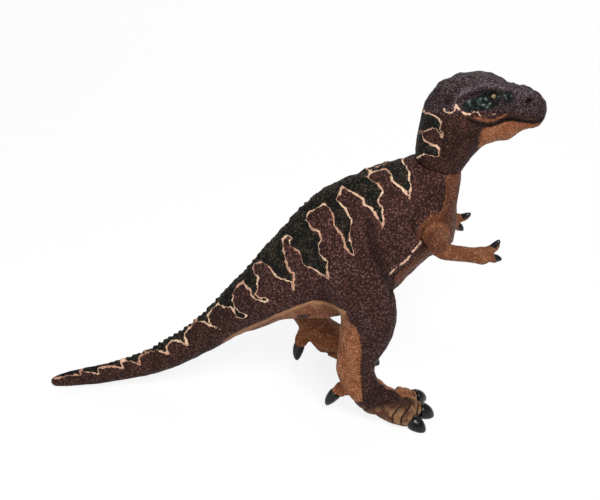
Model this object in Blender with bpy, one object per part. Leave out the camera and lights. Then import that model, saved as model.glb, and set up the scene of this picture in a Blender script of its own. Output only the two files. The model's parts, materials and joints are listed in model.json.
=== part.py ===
# Toy theropod dinosaur figure, about 300 mm long, standing on two feet and its tail tip.
# The torso is a pair of hollow half shells glued on the midline. The tail and the legs are
# glued in, and the head and both arms turn on snap pegs.
# Frame: +X towards the snout, +Y to the figure's left, +Z up, metres.

import math

import bmesh
import bpy
from mathutils import Matrix, Vector

# Fits and walls
GAP = 0.0003                 # between neighbouring pieces
OVERRUN = 0.004              # how far a cutter runs past what it cuts
SHELL_WALL = 0.004           # wall of the two torso halves
GROUND_PRESS = 0.0008        # how much of a sole or the tail tip is cut off flat

# Torso, from the tail root to the neck seat
TORSO_LENGTH = 0.1022
TORSO_RISE = 0.0903
TORSO_DEPTH = 0.0784
TORSO_WIDTH = 0.0590
STANCE_HEIGHT = 0.0703       # middle of the tail root over the ground

# Tail
TAIL_LENGTH = 0.1427
TAIL_TIP_LENGTH = 0.0022
TAIL_TIP_SHARE = 0.45        # of the last section, where the tip is rounded off
TAIL_SPIGOT_LENGTH = 0.012
TAIL_SPIGOT_RADIUS = 0.009

# Head and neck
HEAD_LENGTH = 0.0576         # from the neck seat's middle to the snout
HEAD_HEIGHT = 0.0500         # from the neck seat's middle to the crown
HEAD_DEPTH = 0.0430          # of the tallest section
HEAD_WIDTH = 0.0330
MOUTH_GROOVE = 0.0013
BROW_HEIGHT = 0.0020
HEAD_SQUARENESS = 0.8        # below 1 the cheeks stand fuller than an ellipse
EYE_RADIUS = 0.0024
NOSTRIL_RADIUS = 0.0014

# Snap pegs
NECK_PEG_RADIUS = 0.0050
NECK_CAP_RADIUS = 0.0066
NECK_CAP_HEIGHT = 0.0040
NECK_CAP_TAPER = 0.0016
NECK_FLANGE_RADIUS = 0.0090
NECK_FLANGE_HEIGHT = 0.0030
NECK_SHOULDER_HEIGHT = 0.0030
NECK_RISE = 0.0040
SHOULDER_PEG_RADIUS = 0.0026
SHOULDER_CAP_RADIUS = 0.0044
SHOULDER_CAP_HEIGHT = 0.0022
SHOULDER_PEG_DEPTH = 0.0050

# Arms
ARM_LENGTH = 0.0285          # shoulder to wrist, along X
ARM_DROP = 0.0098            # shoulder to elbow
ARM_RADIUS = 0.0044
ARM_DISC_RADIUS = 0.0078
ARM_CROWN_RADIUS = 0.0039    # of the disc's outer face
ARM_SEAT_WIDTH = 0.0500      # across the two flat seats of the arms
ARM_STANDOFF = 0.0078        # from a seat to the middle of the arm
LEFT_ARM_LIFT = -27.0        # degrees

# Legs and feet
LEG_HEIGHT = 0.1300          # ground to the top of the thigh
THIGH_DEPTH = 0.0408
THIGH_WIDTH = 0.0250
FOOT_SPACING = 0.0630        # between the middles of the ankles
RIGHT_STRIDE = 0.0
LEFT_STRIDE = -0.0285
LEFT_HEEL_LIFT = 0.0060
HIP_SPIGOT_RADIUS = 0.0060
HIP_SPIGOT_LENGTH = 0.0100
TOE_LENGTH = 0.0345
TOE_RADIUS = 0.0081
CLAW_LENGTH = 0.0105
CLAW_RADIUS = 0.0042
HALLUX_LENGTH = 0.0135
HALLUX_RADIUS = 0.0050

# Locating pins on the torso seam
PIN_RADIUS = 0.0011
PIN_LENGTH = 0.0030
PIN_CLEARANCE = 0.0003

# Facets
BODY_SIDES = 24
LIMB_SIDES = 16
TOE_SIDES = 10
CLAW_SIDES = 8
PEG_SIDES = 24
PIN_SIDES = 12
BALL_SIDES = 12
SPAN_STEPS = 2
SHARP_ANGLE = 50.0           # degrees, an edge above it is shaded sharp

# Stations of the torso: along, rise, depth and width as shares, lean of the section in degrees
TORSO_SHARES = [
    (0.000, 0.000, 0.525, 0.640, 35.6),
    (0.100, 0.082, 0.640, 0.750, 30.0),
    (0.270, 0.192, 0.835, 0.881, 29.5),
    (0.411, 0.297, 0.972, 0.966, 32.0),
    (0.554, 0.426, 1.005, 1.000, 33.6),
    (0.675, 0.543, 0.910, 0.983, 33.9),
    (0.808, 0.655, 0.806, 0.949, 33.7),
    (0.930, 0.728, 0.775, 0.881, 37.0),
    (0.967, 0.862, 0.525, 0.715, 48.0),
    (0.992, 1.000, 0.352, 0.492, 76.0),
]
# Width of the hollow at each of those stations, as a share of the torso's width
HOLLOW_WIDTH_SHARES = [0.30, 0.36, 0.40, 0.40, 0.40, 0.46, 0.70, 0.66, 0.40, 0.20]
# First and last station of the hollow, which leaves solid ends round the spigot and the peg
HOLLOW_FIRST_STATION = 1
HOLLOW_LAST_STATION = 7
# The stations beside the shoulders and of the seam pins
SHOULDER_STATION = 6
PIN_STATIONS = (2, 5)

# Stations of the tail: along, drop, depth and width as shares of the root's, lean in degrees
TAIL_SHARES = [
    (0.000, 0.000, 1.000, 1.000, 35.6),
    (0.086, 0.116, 0.790, 0.830, 35.6),
    (0.168, 0.250, 0.630, 0.680, 36.0),
    (0.270, 0.433, 0.525, 0.565, 33.0),
    (0.392, 0.607, 0.465, 0.485, 27.0),
    (0.502, 0.735, 0.405, 0.415, 20.0),
    (0.615, 0.822, 0.352, 0.355, 14.0),
    (0.727, 0.880, 0.310, 0.310, 9.0),
    (0.828, 0.922, 0.278, 0.270, 6.0),
    (0.920, 0.960, 0.228, 0.225, 4.0),
    (0.978, 0.985, 0.155, 0.165, 2.0),
]
# Stations of the neck and head: forward, up, depth, width, lean, mouth angle, groove and brow
HEAD_SHARES = [
    (0.026, 0.152, 0.745, 0.860, 67.0, 100.0, 0.0, 0.0),
    (0.072, 0.320, 0.845, 0.900, 61.0, 98.0, 0.0, 0.0),
    (0.122, 0.468, 0.960, 0.960, 57.0, 96.0, 0.0, 0.0),
    (0.210, 0.582, 1.035, 1.000, 47.0, 96.0, 0.0, 0.0),
    (0.325, 0.655, 1.040, 0.980, 38.0, 98.0, 0.5, 0.3),
    (0.455, 0.668, 0.990, 0.900, 31.0, 99.0, 1.0, 0.9),
    (0.580, 0.672, 0.825, 0.770, 25.0, 102.0, 1.0, 1.0),
    (0.700, 0.672, 0.640, 0.650, 21.0, 106.0, 1.0, 0.5),
    (0.830, 0.662, 0.540, 0.570, 15.0, 106.0, 1.0, 0.3),
    (0.925, 0.655, 0.430, 0.470, 8.0, 106.0, 1.0, 0.2),
    (0.985, 0.645, 0.230, 0.280, 2.0, 104.0, 0.6, 0.0),
]
# Where the points of a head section lie round it, in degrees from the top
UPPER_TURNS = (0.0, 18.0, 36.0, 54.0, 74.0)
LOWER_TURNS = (128.0, 144.0, 160.0, 172.0, 180.0)
LIP_TURN = 9.0
# Which points of a head section carry the brow, the mouth groove and the jaw's step
BROW_POINTS = (2, 3)
LIP_POINT = 6
JAW_POINTS = (7, 8, 9)
EYE_PLACE_SHARES = (0.430, 0.884, 0.345)
NOSTRIL_PLACE_SHARES = (0.785, 0.806, 0.245)

# Stations of a leg: height, forward, depth, width and outward place as shares, tilt in
# degrees, and how much of the stride and of the heel's lift the station takes
LEG_SHARES = [
    (1.000, 0.00, 0.530, 0.48, 0.80, 22.0, 0.00, 0.0),
    (0.869, -0.04, 0.880, 0.72, 0.90, 13.0, 0.02, 0.0),
    (0.731, 0.05, 0.960, 0.92, 0.98, 11.0, 0.12, 0.0),
    (0.615, 0.20, 0.820, 1.00, 1.02, 11.0, 0.32, 0.0),
    (0.527, 0.20, 0.845, 1.00, 1.03, 11.0, 0.52, 0.0),
    (0.427, 0.15, 0.750, 0.92, 1.03, 8.0, 0.76, 0.0),
    (0.342, 0.07, 0.620, 0.80, 1.02, 6.0, 0.92, 0.1),
    (0.273, 0.05, 0.580, 0.74, 1.00, 3.0, 1.00, 0.3),
    (0.192, 0.14, 0.590, 0.78, 0.98, 0.0, 1.00, 0.7),
    (0.118, 0.33, 0.650, 0.88, 0.97, 10.0, 1.00, 0.9),
    (0.066, 0.47, 0.580, 0.86, 0.97, 14.0, 1.00, 0.4),
]
# Where the leg's first station stands over the torso, and where the spigot enters
LEG_PLACE_SHARE = 0.530
HIP_SPIGOT_SHARES = (0.84, 0.02)

# Stations of the thigh that may reach into the torso, the hip's and the ankle's
THIGH_SEAT_STATIONS = 11
HIP_STATION = 1
ANKLE_STATION = -5

# Toes of one foot, the inner one first: inward turn in degrees, length and radius shares
TOE_SHARES = [(30.0, 1.02, 0.92), (0.0, 1.00, 1.00), (-30.0, 0.92, 0.96)]
# Along a toe: place, height and radius as shares
TOE_PROFILE_SHARES = [
    (0.00, 1.55, 1.22),
    (0.25, 1.20, 1.16),
    (0.45, 0.98, 1.02),
    (0.62, 1.02, 1.04),
    (0.80, 0.84, 0.86),
    (0.96, 0.70, 0.66),
]
# Along a claw: place, drop and radius as shares
CLAW_PROFILE_SHARES = [
    (-0.25, -0.02, 0.90),
    (0.10, 0.00, 1.00),
    (0.45, 0.10, 0.78),
    (0.78, 0.28, 0.46),
    (1.00, 0.46, 0.14),
]
BALL_FORWARD_SHARE = 0.47
HALLUX_HEADINGS = {"right": (-0.90, 0.05, -0.42), "left": (-0.36, -0.05, -0.93)}
HALLUX_PLACE_SHARES = (-0.33, 0.50, 0.70)
HALLUX_RADIUS_SHARES = (1.00, 0.95, 0.70)
HALLUX_CLAW_SHARE = 0.74
HALLUX_DROOP_SHARE = 0.90
FOOT_TURNS = {"right": -2.0, "left": 14.0}
LEFT_TOE_SHARE = 0.965

# Along the upper arm and the forearm: forward, down, outward and radius as shares
UPPER_ARM_SHARES = [
    (-0.10, -0.42, 0.92, 1.00),
    (-0.02, 0.05, 1.00, 1.34),
    (0.04, 0.55, 1.04, 1.18),
    (0.12, 0.88, 1.00, 0.88),
]
FOREARM_SHARES = [
    (0.02, 0.78, 1.02, 0.80),
    (0.20, 0.86, 1.02, 1.02),
    (0.48, 0.98, 1.00, 0.98),
    (0.72, 1.08, 0.96, 0.94),
    (0.92, 1.14, 0.92, 1.16),
    (1.06, 1.08, 0.88, 0.84),
]
UPPER_FINGER_SHARES = [
    (0.98, 0.94, 0.88, 0.64),
    (1.12, 0.72, 0.84, 0.54),
    (1.20, 0.48, 0.80, 0.38),
    (1.25, 0.22, 0.78, 0.10),
]
LOWER_FINGER_SHARES = [
    (1.00, 1.14, 0.92, 0.66),
    (1.13, 1.34, 0.88, 0.56),
    (1.23, 1.42, 0.84, 0.38),
    (1.32, 1.38, 0.82, 0.10),
]
SHOULDER_PLACE_SHARES = (0.970, 0.645)

PINCH = 0.14                 # how much narrower a body section is above than below

Y_AXIS = Vector((0.0, 1.0, 0.0))


def clear_scene():
    for item in list(bpy.data.objects):
        bpy.data.objects.remove(item, do_unlink=True)


def material(name, colour, roughness):
    finish = bpy.data.materials.new(name)
    finish.use_nodes = True
    shader = finish.node_tree.nodes["Principled BSDF"]
    shader.inputs["Base Color"].default_value = (*colour, 1.0)
    shader.inputs["Roughness"].default_value = roughness
    return finish


def fair(rows, steps=SPAN_STEPS):
    """Rows between the given ones, on a smooth curve through them."""
    faired = []
    for index in range(len(rows) - 1):
        before = rows[max(index - 1, 0)]
        start = rows[index]
        end = rows[index + 1]
        after = rows[min(index + 2, len(rows) - 1)]
        for step in range(steps):
            t = step / steps
            faired.append(tuple(
                0.5 * (2 * b + (c - a) * t + (2 * a - 5 * b + 4 * c - d) * t ** 2
                       + (3 * b - a - 3 * c + d) * t ** 3)
                for a, b, c, d in zip(before, start, end, after)
            ))
    faired.append(tuple(rows[-1]))
    return faired


def mesh_object(name, rings):
    """A closed skin over rings that hold the same number of points."""
    shape = bmesh.new()
    loops = [[shape.verts.new(point) for point in ring] for ring in rings]
    count = len(loops[0])
    for lower, upper in zip(loops, loops[1:]):
        for index in range(count):
            after = (index + 1) % count
            shape.faces.new((lower[index], lower[after], upper[after], upper[index]))
    shape.faces.new(list(reversed(loops[0])))
    shape.faces.new(loops[-1])
    bmesh.ops.recalc_face_normals(shape, faces=shape.faces)
    mesh = bpy.data.meshes.new(name)
    shape.to_mesh(mesh)
    shape.free()
    item = bpy.data.objects.new(name, mesh)
    bpy.context.collection.objects.link(item)
    return item


def boolean(target, tools, operation):
    """Cut or join all the tools into the target at once, and take the tools away."""
    tray = bpy.data.collections.new("tools")
    for tool in tools:
        tray.objects.link(tool)
    change = target.modifiers.new(operation.lower(), "BOOLEAN")
    change.operation = operation
    change.solver = "EXACT"
    change.operand_type = "COLLECTION"
    change.collection = tray
    graph = bpy.context.evaluated_depsgraph_get()
    mesh = bpy.data.meshes.new_from_object(target.evaluated_get(graph))
    target.modifiers.remove(change)
    target.data = mesh
    for tool in tools:
        bpy.data.objects.remove(tool, do_unlink=True)
    bpy.data.collections.remove(tray)


def section(centre, lean, half_depth, half_width, sides=BODY_SIDES, pinch=PINCH):
    """An egg-shaped ring across the body: its first point is on top."""
    angle = math.radians(lean)
    up = Vector((-math.sin(angle), 0.0, math.cos(angle)))
    ring = []
    for index in range(sides):
        turn = math.tau * index / sides
        rise = math.cos(turn)
        out = math.sin(turn) * (1 - pinch * rise)
        ring.append(centre + up * half_depth * rise + Y_AXIS * half_width * out)
    return ring


def half_section(ring, side, seam):
    """The part of a ring on one side of the midline, closed along the seam."""
    count = len(ring)
    kept = [ring[index] for index in range(count // 2 + 1)]
    half = []
    for index, point in enumerate(kept):
        out = abs(point.y)
        if index in (0, count // 2):
            out = seam
        half.append(Vector((point.x, side * max(out, seam), point.z)))
    return half


def torso_place(along, rise):
    """A point on the midline, from its shares along and up the torso."""
    return Vector((TORSO_LENGTH * along, 0.0, STANCE_HEIGHT + TORSO_RISE * rise))


NECK_SEAT = torso_place(TORSO_SHARES[-1][0], TORSO_SHARES[-1][1])
NECK_LEAN = TORSO_SHARES[-1][4]
NECK_AXIS = Vector((math.cos(math.radians(NECK_LEAN)), 0.0, math.sin(math.radians(NECK_LEAN))))
TAIL_AXIS = Vector((
    math.cos(math.radians(TORSO_SHARES[0][4])), 0.0, math.sin(math.radians(TORSO_SHARES[0][4]))
))


def turned(name, start, axis, profile, sides=PEG_SIDES):
    """A solid of revolution: the profile lists distance along the axis and radius."""
    across = axis.orthogonal().normalized()
    other = axis.cross(across).normalized()
    rings = []
    for along, radius in profile:
        ring = []
        for index in range(sides):
            turn = math.tau * index / sides
            spoke = across * math.cos(turn) + other * math.sin(turn)
            ring.append(start + axis * along + spoke * radius)
        rings.append(ring)
    return mesh_object(name, rings)


def tube(name, points, radii, sides):
    """A round limb through the points, with its own radius at each."""
    rings = []
    for index, (point, radius) in enumerate(zip(points, radii)):
        before = points[max(index - 1, 0)]
        after = points[min(index + 1, len(points) - 1)]
        along = (after - before).normalized()
        across = along.cross(Y_AXIS).normalized()
        other = along.cross(across).normalized()
        ring = []
        for step in range(sides):
            turn = math.tau * step / sides
            ring.append(point + (across * math.cos(turn) + other * math.sin(turn)) * radius)
        rings.append(ring)
    return mesh_object(name, rings)


def torso_rings():
    rows = fair(TORSO_SHARES)
    rings = []
    for along, rise, depth, width, lean in rows:
        centre = torso_place(along, rise)
        rings.append(section(centre, lean, TORSO_DEPTH * depth / 2, TORSO_WIDTH * width / 2))
    # The two ends stand half a gap back from the pieces that meet them
    rings[0] = [point + TAIL_AXIS * GAP / 2 for point in rings[0]]
    rings[-1] = [point - NECK_AXIS * GAP / 2 for point in rings[-1]]
    return rings


def hollow_rings():
    first = HOLLOW_FIRST_STATION
    last = HOLLOW_LAST_STATION
    rows = []
    for station, width in list(zip(TORSO_SHARES, HOLLOW_WIDTH_SHARES))[first:last + 1]:
        along, rise, depth, outer_width, lean = station
        rows.append((along, rise, depth, min(width, outer_width), lean))
    rings = []
    for along, rise, depth, width, lean in fair(rows, 1):
        half_depth = TORSO_DEPTH * depth / 2 - SHELL_WALL
        half_width = TORSO_WIDTH * width / 2 - GAP
        rings.append(section(torso_place(along, rise), lean, half_depth, half_width, BODY_SIDES // 2))
    return rings


def shoulder_place(side):
    along, rise = SHOULDER_PLACE_SHARES
    return torso_place(along, rise) + Y_AXIS * side * ARM_SEAT_WIDTH / 2


def leg_rows(side):
    """Stations of a leg in metres: centre, half depth, half width and tilt."""
    stride = RIGHT_STRIDE if side < 0 else LEFT_STRIDE
    lift = 0.0 if side < 0 else LEFT_HEEL_LIFT
    foot = torso_place(LEG_PLACE_SHARE, 0.0).x
    rows = []
    for height, forward, depth, width, outward, tilt, stride_share, lift_share in fair(LEG_SHARES):
        x = foot + THIGH_DEPTH * forward + stride * stride_share
        centre = Vector((x, FOOT_SPACING * outward / 2, LEG_HEIGHT * height + lift * lift_share))
        rows.append((centre, THIGH_DEPTH * depth / 2, THIGH_WIDTH * width / 2, tilt))
    return rows


def leg_loft(name, side, stations, extra=0.0):
    rings = []
    for centre, half_depth, half_width, tilt in leg_rows(side)[:stations]:
        angle = math.radians(tilt)
        fore = Vector((math.cos(angle), 0.0, math.sin(angle)))
        ring = []
        for index in range(LIMB_SIDES):
            turn = math.tau * index / LIMB_SIDES
            out = Y_AXIS * side * (centre.y + (half_width + extra) * math.sin(turn))
            level = Vector((centre.x, 0.0, centre.z))
            ring.append(level + fore * (half_depth + extra) * math.cos(turn) + out)
        rings.append(ring)
    top_axis = Vector((0.0, 0.0, 1.0))
    rings[0] = [point + top_axis * extra for point in rings[0]]
    return mesh_object(name, rings)


def hip_spigot(name, side, extra):
    height_share, forward_share = HIP_SPIGOT_SHARES
    x = torso_place(LEG_PLACE_SHARE, 0.0).x + THIGH_DEPTH * forward_share
    hip = LEG_SHARES[HIP_STATION]
    half_width = THIGH_WIDTH * hip[3] / 2
    inner = FOOT_SPACING * hip[4] / 2 - half_width
    start = Vector((x, side * (inner - HIP_SPIGOT_LENGTH - extra), LEG_HEIGHT * height_share))
    reach = HIP_SPIGOT_LENGTH + half_width
    radius = HIP_SPIGOT_RADIUS + extra
    return turned(name, start, Y_AXIS * side, [(0.0, radius), (reach, radius)])


def claw(name, base, heading, length, radius, droop=1.0):
    points = []
    radii = []
    for along, drop, share in CLAW_PROFILE_SHARES:
        points.append(base + heading * length * along - Vector((0.0, 0.0, length * drop * droop)))
        radii.append(radius * share)
    return tube(name, points, radii, CLAW_SIDES)


def ground_block(name):
    """Everything below the ground, to cut soles and the tail tip flat."""
    shape = bmesh.new()
    bmesh.ops.create_cube(shape, size=1.0)
    reach = TAIL_LENGTH + TORSO_LENGTH + HEAD_LENGTH
    size = Matrix.Diagonal((2 * reach, reach, reach, 1.0))
    below = Matrix.Translation((0.0, 0.0, -reach / 2))
    bmesh.ops.transform(shape, matrix=below @ size, verts=shape.verts)
    mesh = bpy.data.meshes.new(name)
    shape.to_mesh(mesh)
    shape.free()
    block = bpy.data.objects.new(name, mesh)
    bpy.context.collection.objects.link(block)
    return block


def make_leg(name, side):
    leg = leg_loft(name, side, len(leg_rows(side)))
    stride = RIGHT_STRIDE if side < 0 else LEFT_STRIDE
    foot_x = torso_place(LEG_PLACE_SHARE, 0.0).x + stride
    ball_y = side * FOOT_SPACING * LEG_SHARES[-1][4] / 2
    foot_ball = Vector((foot_x + THIGH_DEPTH * BALL_FORWARD_SHARE, ball_y, 0.0))
    word = "right" if side < 0 else "left"
    limbs = [hip_spigot("spigot", side, 0.0)]
    bend = 1.0 if side < 0 else LEFT_TOE_SHARE
    for turn, length_share, radius_share in TOE_SHARES:
        angle = math.radians(FOOT_TURNS[word] - side * turn)
        limbs.extend(toe(foot_ball, angle, length_share * bend, radius_share))
    limbs.extend(hind_toe(leg_rows(side)[ANKLE_STATION], side, HALLUX_HEADINGS[word]))
    boolean(leg, limbs, "UNION")
    boolean(leg, [ground_block("ground")], "DIFFERENCE")
    return leg


def toe(foot_ball, angle, length_share, radius_share):
    """One front toe with its pads, and its claw."""
    heading = Vector((math.cos(angle), math.sin(angle), 0.0))
    radius = TOE_RADIUS * radius_share
    length = TOE_LENGTH * length_share - CLAW_LENGTH
    points = []
    radii = []
    for along, height, share in fair(TOE_PROFILE_SHARES):
        lift = Vector((0.0, 0.0, radius * height - GROUND_PRESS))
        points.append(foot_ball + heading * length * along + lift)
        radii.append(radius * share)
    base = points[-1]
    droop = (base.z - GROUND_PRESS) / CLAW_LENGTH
    return [
        tube("toe", points, radii, TOE_SIDES),
        claw("claw", base, heading, CLAW_LENGTH, CLAW_RADIUS, droop),
    ]


def hind_toe(ankle, side, heading):
    """The small toe that hangs behind the ankle, and its claw."""
    centre, half_depth, half_width = ankle[:3]
    heel_y = side * (centre.y - half_width / 2)
    heel = Vector((centre.x - half_depth / 2, heel_y, centre.z - half_depth / 2))
    back = Vector(heading)
    back.y *= side
    back.normalize()
    points = [heel + back * HALLUX_LENGTH * along for along in HALLUX_PLACE_SHARES]
    radii = [HALLUX_RADIUS * share for share in HALLUX_RADIUS_SHARES]
    length = CLAW_LENGTH * HALLUX_CLAW_SHARE
    radius = CLAW_RADIUS * HALLUX_CLAW_SHARE
    return [
        tube("hallux", points, radii, TOE_SIDES),
        claw("claw", points[-1], back, length, radius, HALLUX_DROOP_SHARE),
    ]


def make_tail():
    """The tail loft, its tip flat on the ground, with a spigot that is glued into the torso."""
    root = TORSO_SHARES[0]
    half_depth = TORSO_DEPTH * root[2] / 2
    half_width = TORSO_WIDTH * root[3] / 2
    tip_depth = half_depth * TAIL_SHARES[-1][2]
    drop = (STANCE_HEIGHT - tip_depth + GROUND_PRESS) / TAIL_SHARES[-1][1]
    rings = []
    for along, fall, depth, width, lean in fair(TAIL_SHARES):
        centre = Vector((-TAIL_LENGTH * along, 0.0, STANCE_HEIGHT - drop * fall))
        pinch = PINCH * (1 - along)
        rings.append(section(centre, lean, half_depth * depth, half_width * width, pinch=pinch))
    last = rings[-1]
    middle = sum(last, Vector()) / len(last)
    end = middle - Vector((TAIL_TIP_LENGTH, 0.0, 0.0))
    rings.append([end + (point - middle) * TAIL_TIP_SHARE for point in last])
    rings[0] = [point - TAIL_AXIS * GAP / 2 for point in rings[0]]
    tail = mesh_object("tail", rings)
    boolean(tail, [tail_spigot("spigot", 0.0)], "UNION")
    boolean(tail, [ground_block("ground")], "DIFFERENCE")
    return tail


def tail_spigot(name, extra):
    start = torso_place(0.0, 0.0) - TAIL_AXIS * OVERRUN
    reach = OVERRUN + TAIL_SPIGOT_LENGTH + extra
    radius = TAIL_SPIGOT_RADIUS + extra
    return turned(name, start, TAIL_AXIS, [(0.0, radius), (reach, radius)])


def neck_peg_profile(extra):
    """Flange held in the torso, shank across the seam, and the snap cap in the head."""
    shoulder = -NECK_SHOULDER_HEIGHT
    flange = shoulder - NECK_FLANGE_HEIGHT
    cap = NECK_RISE
    top = cap + NECK_CAP_HEIGHT
    return [
        (flange - extra, NECK_FLANGE_RADIUS + extra),
        (shoulder + extra, NECK_FLANGE_RADIUS + extra),
        (shoulder + extra, NECK_PEG_RADIUS + extra),
        (cap - extra, NECK_PEG_RADIUS + extra),
        (cap - extra, NECK_CAP_RADIUS + extra),
        (top - NECK_CAP_TAPER, NECK_CAP_RADIUS + extra),
        (top + extra, NECK_PEG_RADIUS),
    ]


def shoulder_peg_profile(extra):
    """From inside the torso: retaining cap, then the shank that is glued into the arm."""
    wall = ARM_SEAT_WIDTH / 2 - TORSO_WIDTH * HOLLOW_WIDTH_SHARES[SHOULDER_STATION] / 2
    inner = -(wall + 2 * GAP)
    return [
        (inner - SHOULDER_CAP_HEIGHT - extra, SHOULDER_CAP_RADIUS + extra),
        (inner + extra, SHOULDER_CAP_RADIUS + extra),
        (inner + extra, SHOULDER_PEG_RADIUS + extra),
        (SHOULDER_PEG_DEPTH + extra, SHOULDER_PEG_RADIUS + extra),
    ]


def make_torso_half(name, side):
    outer = [half_section(ring, side, GAP / 2) for ring in torso_rings()]
    half = mesh_object(name, outer)
    hollow = []
    for ring in hollow_rings():
        kept = half_section(ring, side, 0.0)
        kept[0].y = -side * OVERRUN
        kept[-1].y = -side * OVERRUN
        hollow.append(kept)
    shoulder = shoulder_place(side)
    pocket = [(0.0, ARM_DISC_RADIUS + GAP), (ARM_STANDOFF, ARM_DISC_RADIUS + GAP)]
    cutters = [
        mesh_object("hollow", hollow),
        leg_loft("thigh_seat", side, THIGH_SEAT_STATIONS, GAP),
        hip_spigot("spigot_hole", side, GAP),
        tail_spigot("spigot_socket", GAP),
        turned("peg_seat", NECK_SEAT, NECK_AXIS, neck_peg_profile(GAP)),
        turned("arm_seat", shoulder, Y_AXIS * side, pocket),
        turned("peg_hole", shoulder, Y_AXIS * side, shoulder_peg_profile(GAP)),
    ]
    if side > 0:
        depth = PIN_LENGTH + PIN_CLEARANCE
        cutters.extend(seam_pins(OVERRUN, depth, PIN_RADIUS + PIN_CLEARANCE))
    else:
        boolean(half, seam_pins(PIN_LENGTH, PIN_LENGTH, PIN_RADIUS), "UNION")
    boolean(half, cutters, "DIFFERENCE")
    return half


def seam_pins(right_reach, left_reach, radius):
    """Round pins across the seam, reaching so far to the right and to the left of it."""
    pins = []
    for place in pin_places():
        start = place - Y_AXIS * right_reach
        profile = [(0.0, radius), (right_reach + left_reach, radius)]
        pins.append(turned("pin", start, Y_AXIS, profile, PIN_SIDES))
    return pins


def pin_places():
    """Middles of the wall on the seam, above and below the hollow."""
    places = []
    for station in PIN_STATIONS:
        along, rise, depth, width, lean = TORSO_SHARES[station]
        angle = math.radians(lean)
        up = Vector((-math.sin(angle), 0.0, math.cos(angle)))
        reach = TORSO_DEPTH * depth / 2 - SHELL_WALL / 2
        places.append(torso_place(along, rise) + up * reach)
        places.append(torso_place(along, rise) - up * reach)
    return places


def head_ring(row):
    """One section of the head, with the mouth groove and the brow worked into it."""
    forward, up_share, depth, width, lean, mouth, groove, brow = row
    centre = NECK_SEAT + Vector((HEAD_LENGTH * forward, 0.0, HEAD_HEIGHT * up_share))
    angle = math.radians(lean)
    up = Vector((-math.sin(angle), 0.0, math.cos(angle)))
    half_depth = HEAD_DEPTH * depth / 2
    half_width = HEAD_WIDTH * width / 2
    turns = [*UPPER_TURNS, mouth - LIP_TURN, mouth, mouth + LIP_TURN / 2, *LOWER_TURNS]
    side_points = []
    for number, turn in enumerate(turns):
        rise = math.cos(math.radians(turn))
        out = math.sin(math.radians(turn))
        squared = abs(out) ** HEAD_SQUARENESS
        reach_up = half_depth * rise
        reach_out = half_width * squared
        if number in BROW_POINTS:
            reach_up += BROW_HEIGHT * brow
            reach_out += BROW_HEIGHT * brow / 2
        if number == LIP_POINT:
            reach_out -= MOUTH_GROOVE * groove
        if number in JAW_POINTS:
            reach_out -= MOUTH_GROOVE * groove / 2
        side_points.append((reach_up, reach_out))
    ring = []
    for rise, out in side_points:
        ring.append(centre + up * rise + Y_AXIS * out)
    for rise, out in reversed(side_points[1:-1]):
        ring.append(centre + up * rise - Y_AXIS * out)
    return ring


def head_place(shares, side):
    forward, up, out = shares
    return NECK_SEAT + Vector((HEAD_LENGTH * forward, side * HEAD_WIDTH * out, HEAD_HEIGHT * up))


def ball(name, centre, radius):
    shape = bmesh.new()
    bmesh.ops.create_uvsphere(shape, u_segments=BALL_SIDES, v_segments=BALL_SIDES // 2, radius=radius)
    bmesh.ops.translate(shape, vec=centre, verts=shape.verts)
    mesh = bpy.data.meshes.new(name)
    shape.to_mesh(mesh)
    shape.free()
    item = bpy.data.objects.new(name, mesh)
    bpy.context.collection.objects.link(item)
    return item


def make_head():
    seat = TORSO_SHARES[-1]
    seat_depth = TORSO_DEPTH * seat[2] / HEAD_DEPTH
    seat_width = TORSO_WIDTH * seat[3] / HEAD_WIDTH
    first = (0.0, 0.0, seat_depth, seat_width, seat[4])
    rings = [head_ring(row) for row in fair([first + HEAD_SHARES[0][5:], *HEAD_SHARES])]
    rings[0] = [point + NECK_AXIS * GAP / 2 for point in rings[0]]
    head = mesh_object("head", rings)
    eyes = []
    nostrils = []
    for side in (-1, 1):
        eyes.append(ball("eye", head_place(EYE_PLACE_SHARES, side), EYE_RADIUS))
        nostrils.append(ball("nostril", head_place(NOSTRIL_PLACE_SHARES, side), NOSTRIL_RADIUS))
    socket = turned("peg_socket", NECK_SEAT, NECK_AXIS, neck_peg_profile(GAP))
    boolean(head, eyes, "UNION")
    boolean(head, [socket, *nostrils], "DIFFERENCE")
    return head


def make_arm(name, side, lift):
    shoulder = shoulder_place(side)
    seat = shoulder + Y_AXIS * side * GAP

    def place(row):
        forward, down, outward, share = row
        local = Vector((ARM_LENGTH * forward, 0.0, -ARM_DROP * down))
        return shoulder + local + Y_AXIS * side * ARM_STANDOFF * outward

    half_way = ARM_STANDOFF / 2
    disc = [(0.0, ARM_DISC_RADIUS), (half_way, ARM_DISC_RADIUS), (ARM_STANDOFF, ARM_CROWN_RADIUS)]
    arm = turned(name, seat, Y_AXIS * side, disc)
    limbs = []
    for rows in (UPPER_ARM_SHARES, FOREARM_SHARES, UPPER_FINGER_SHARES, LOWER_FINGER_SHARES):
        faired = fair(rows)
        points = [place(row) for row in faired]
        limbs.append(tube("limb", points, [ARM_RADIUS * row[3] for row in faired], TOE_SIDES))
    boolean(arm, limbs, "UNION")
    socket = turned("peg_socket", shoulder, Y_AXIS * side, shoulder_peg_profile(GAP))
    boolean(arm, [socket], "DIFFERENCE")
    turn = Matrix.Rotation(math.radians(-lift), 4, "Y")
    arm.data.transform(Matrix.Translation(shoulder) @ turn @ Matrix.Translation(-shoulder))
    return arm


def set_origin(item, point):
    """Put the object's origin on its joint's axis, with the shape left where it is."""
    item.data.transform(Matrix.Translation(-point))
    item.location = point


def finish_piece(item, colour, roughness):
    item.data.materials.clear()
    item.data.materials.append(material(item.name, colour, roughness))
    item.data.shade_smooth()
    item.data.set_sharp_from_angle(angle=math.radians(SHARP_ANGLE))


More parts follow.
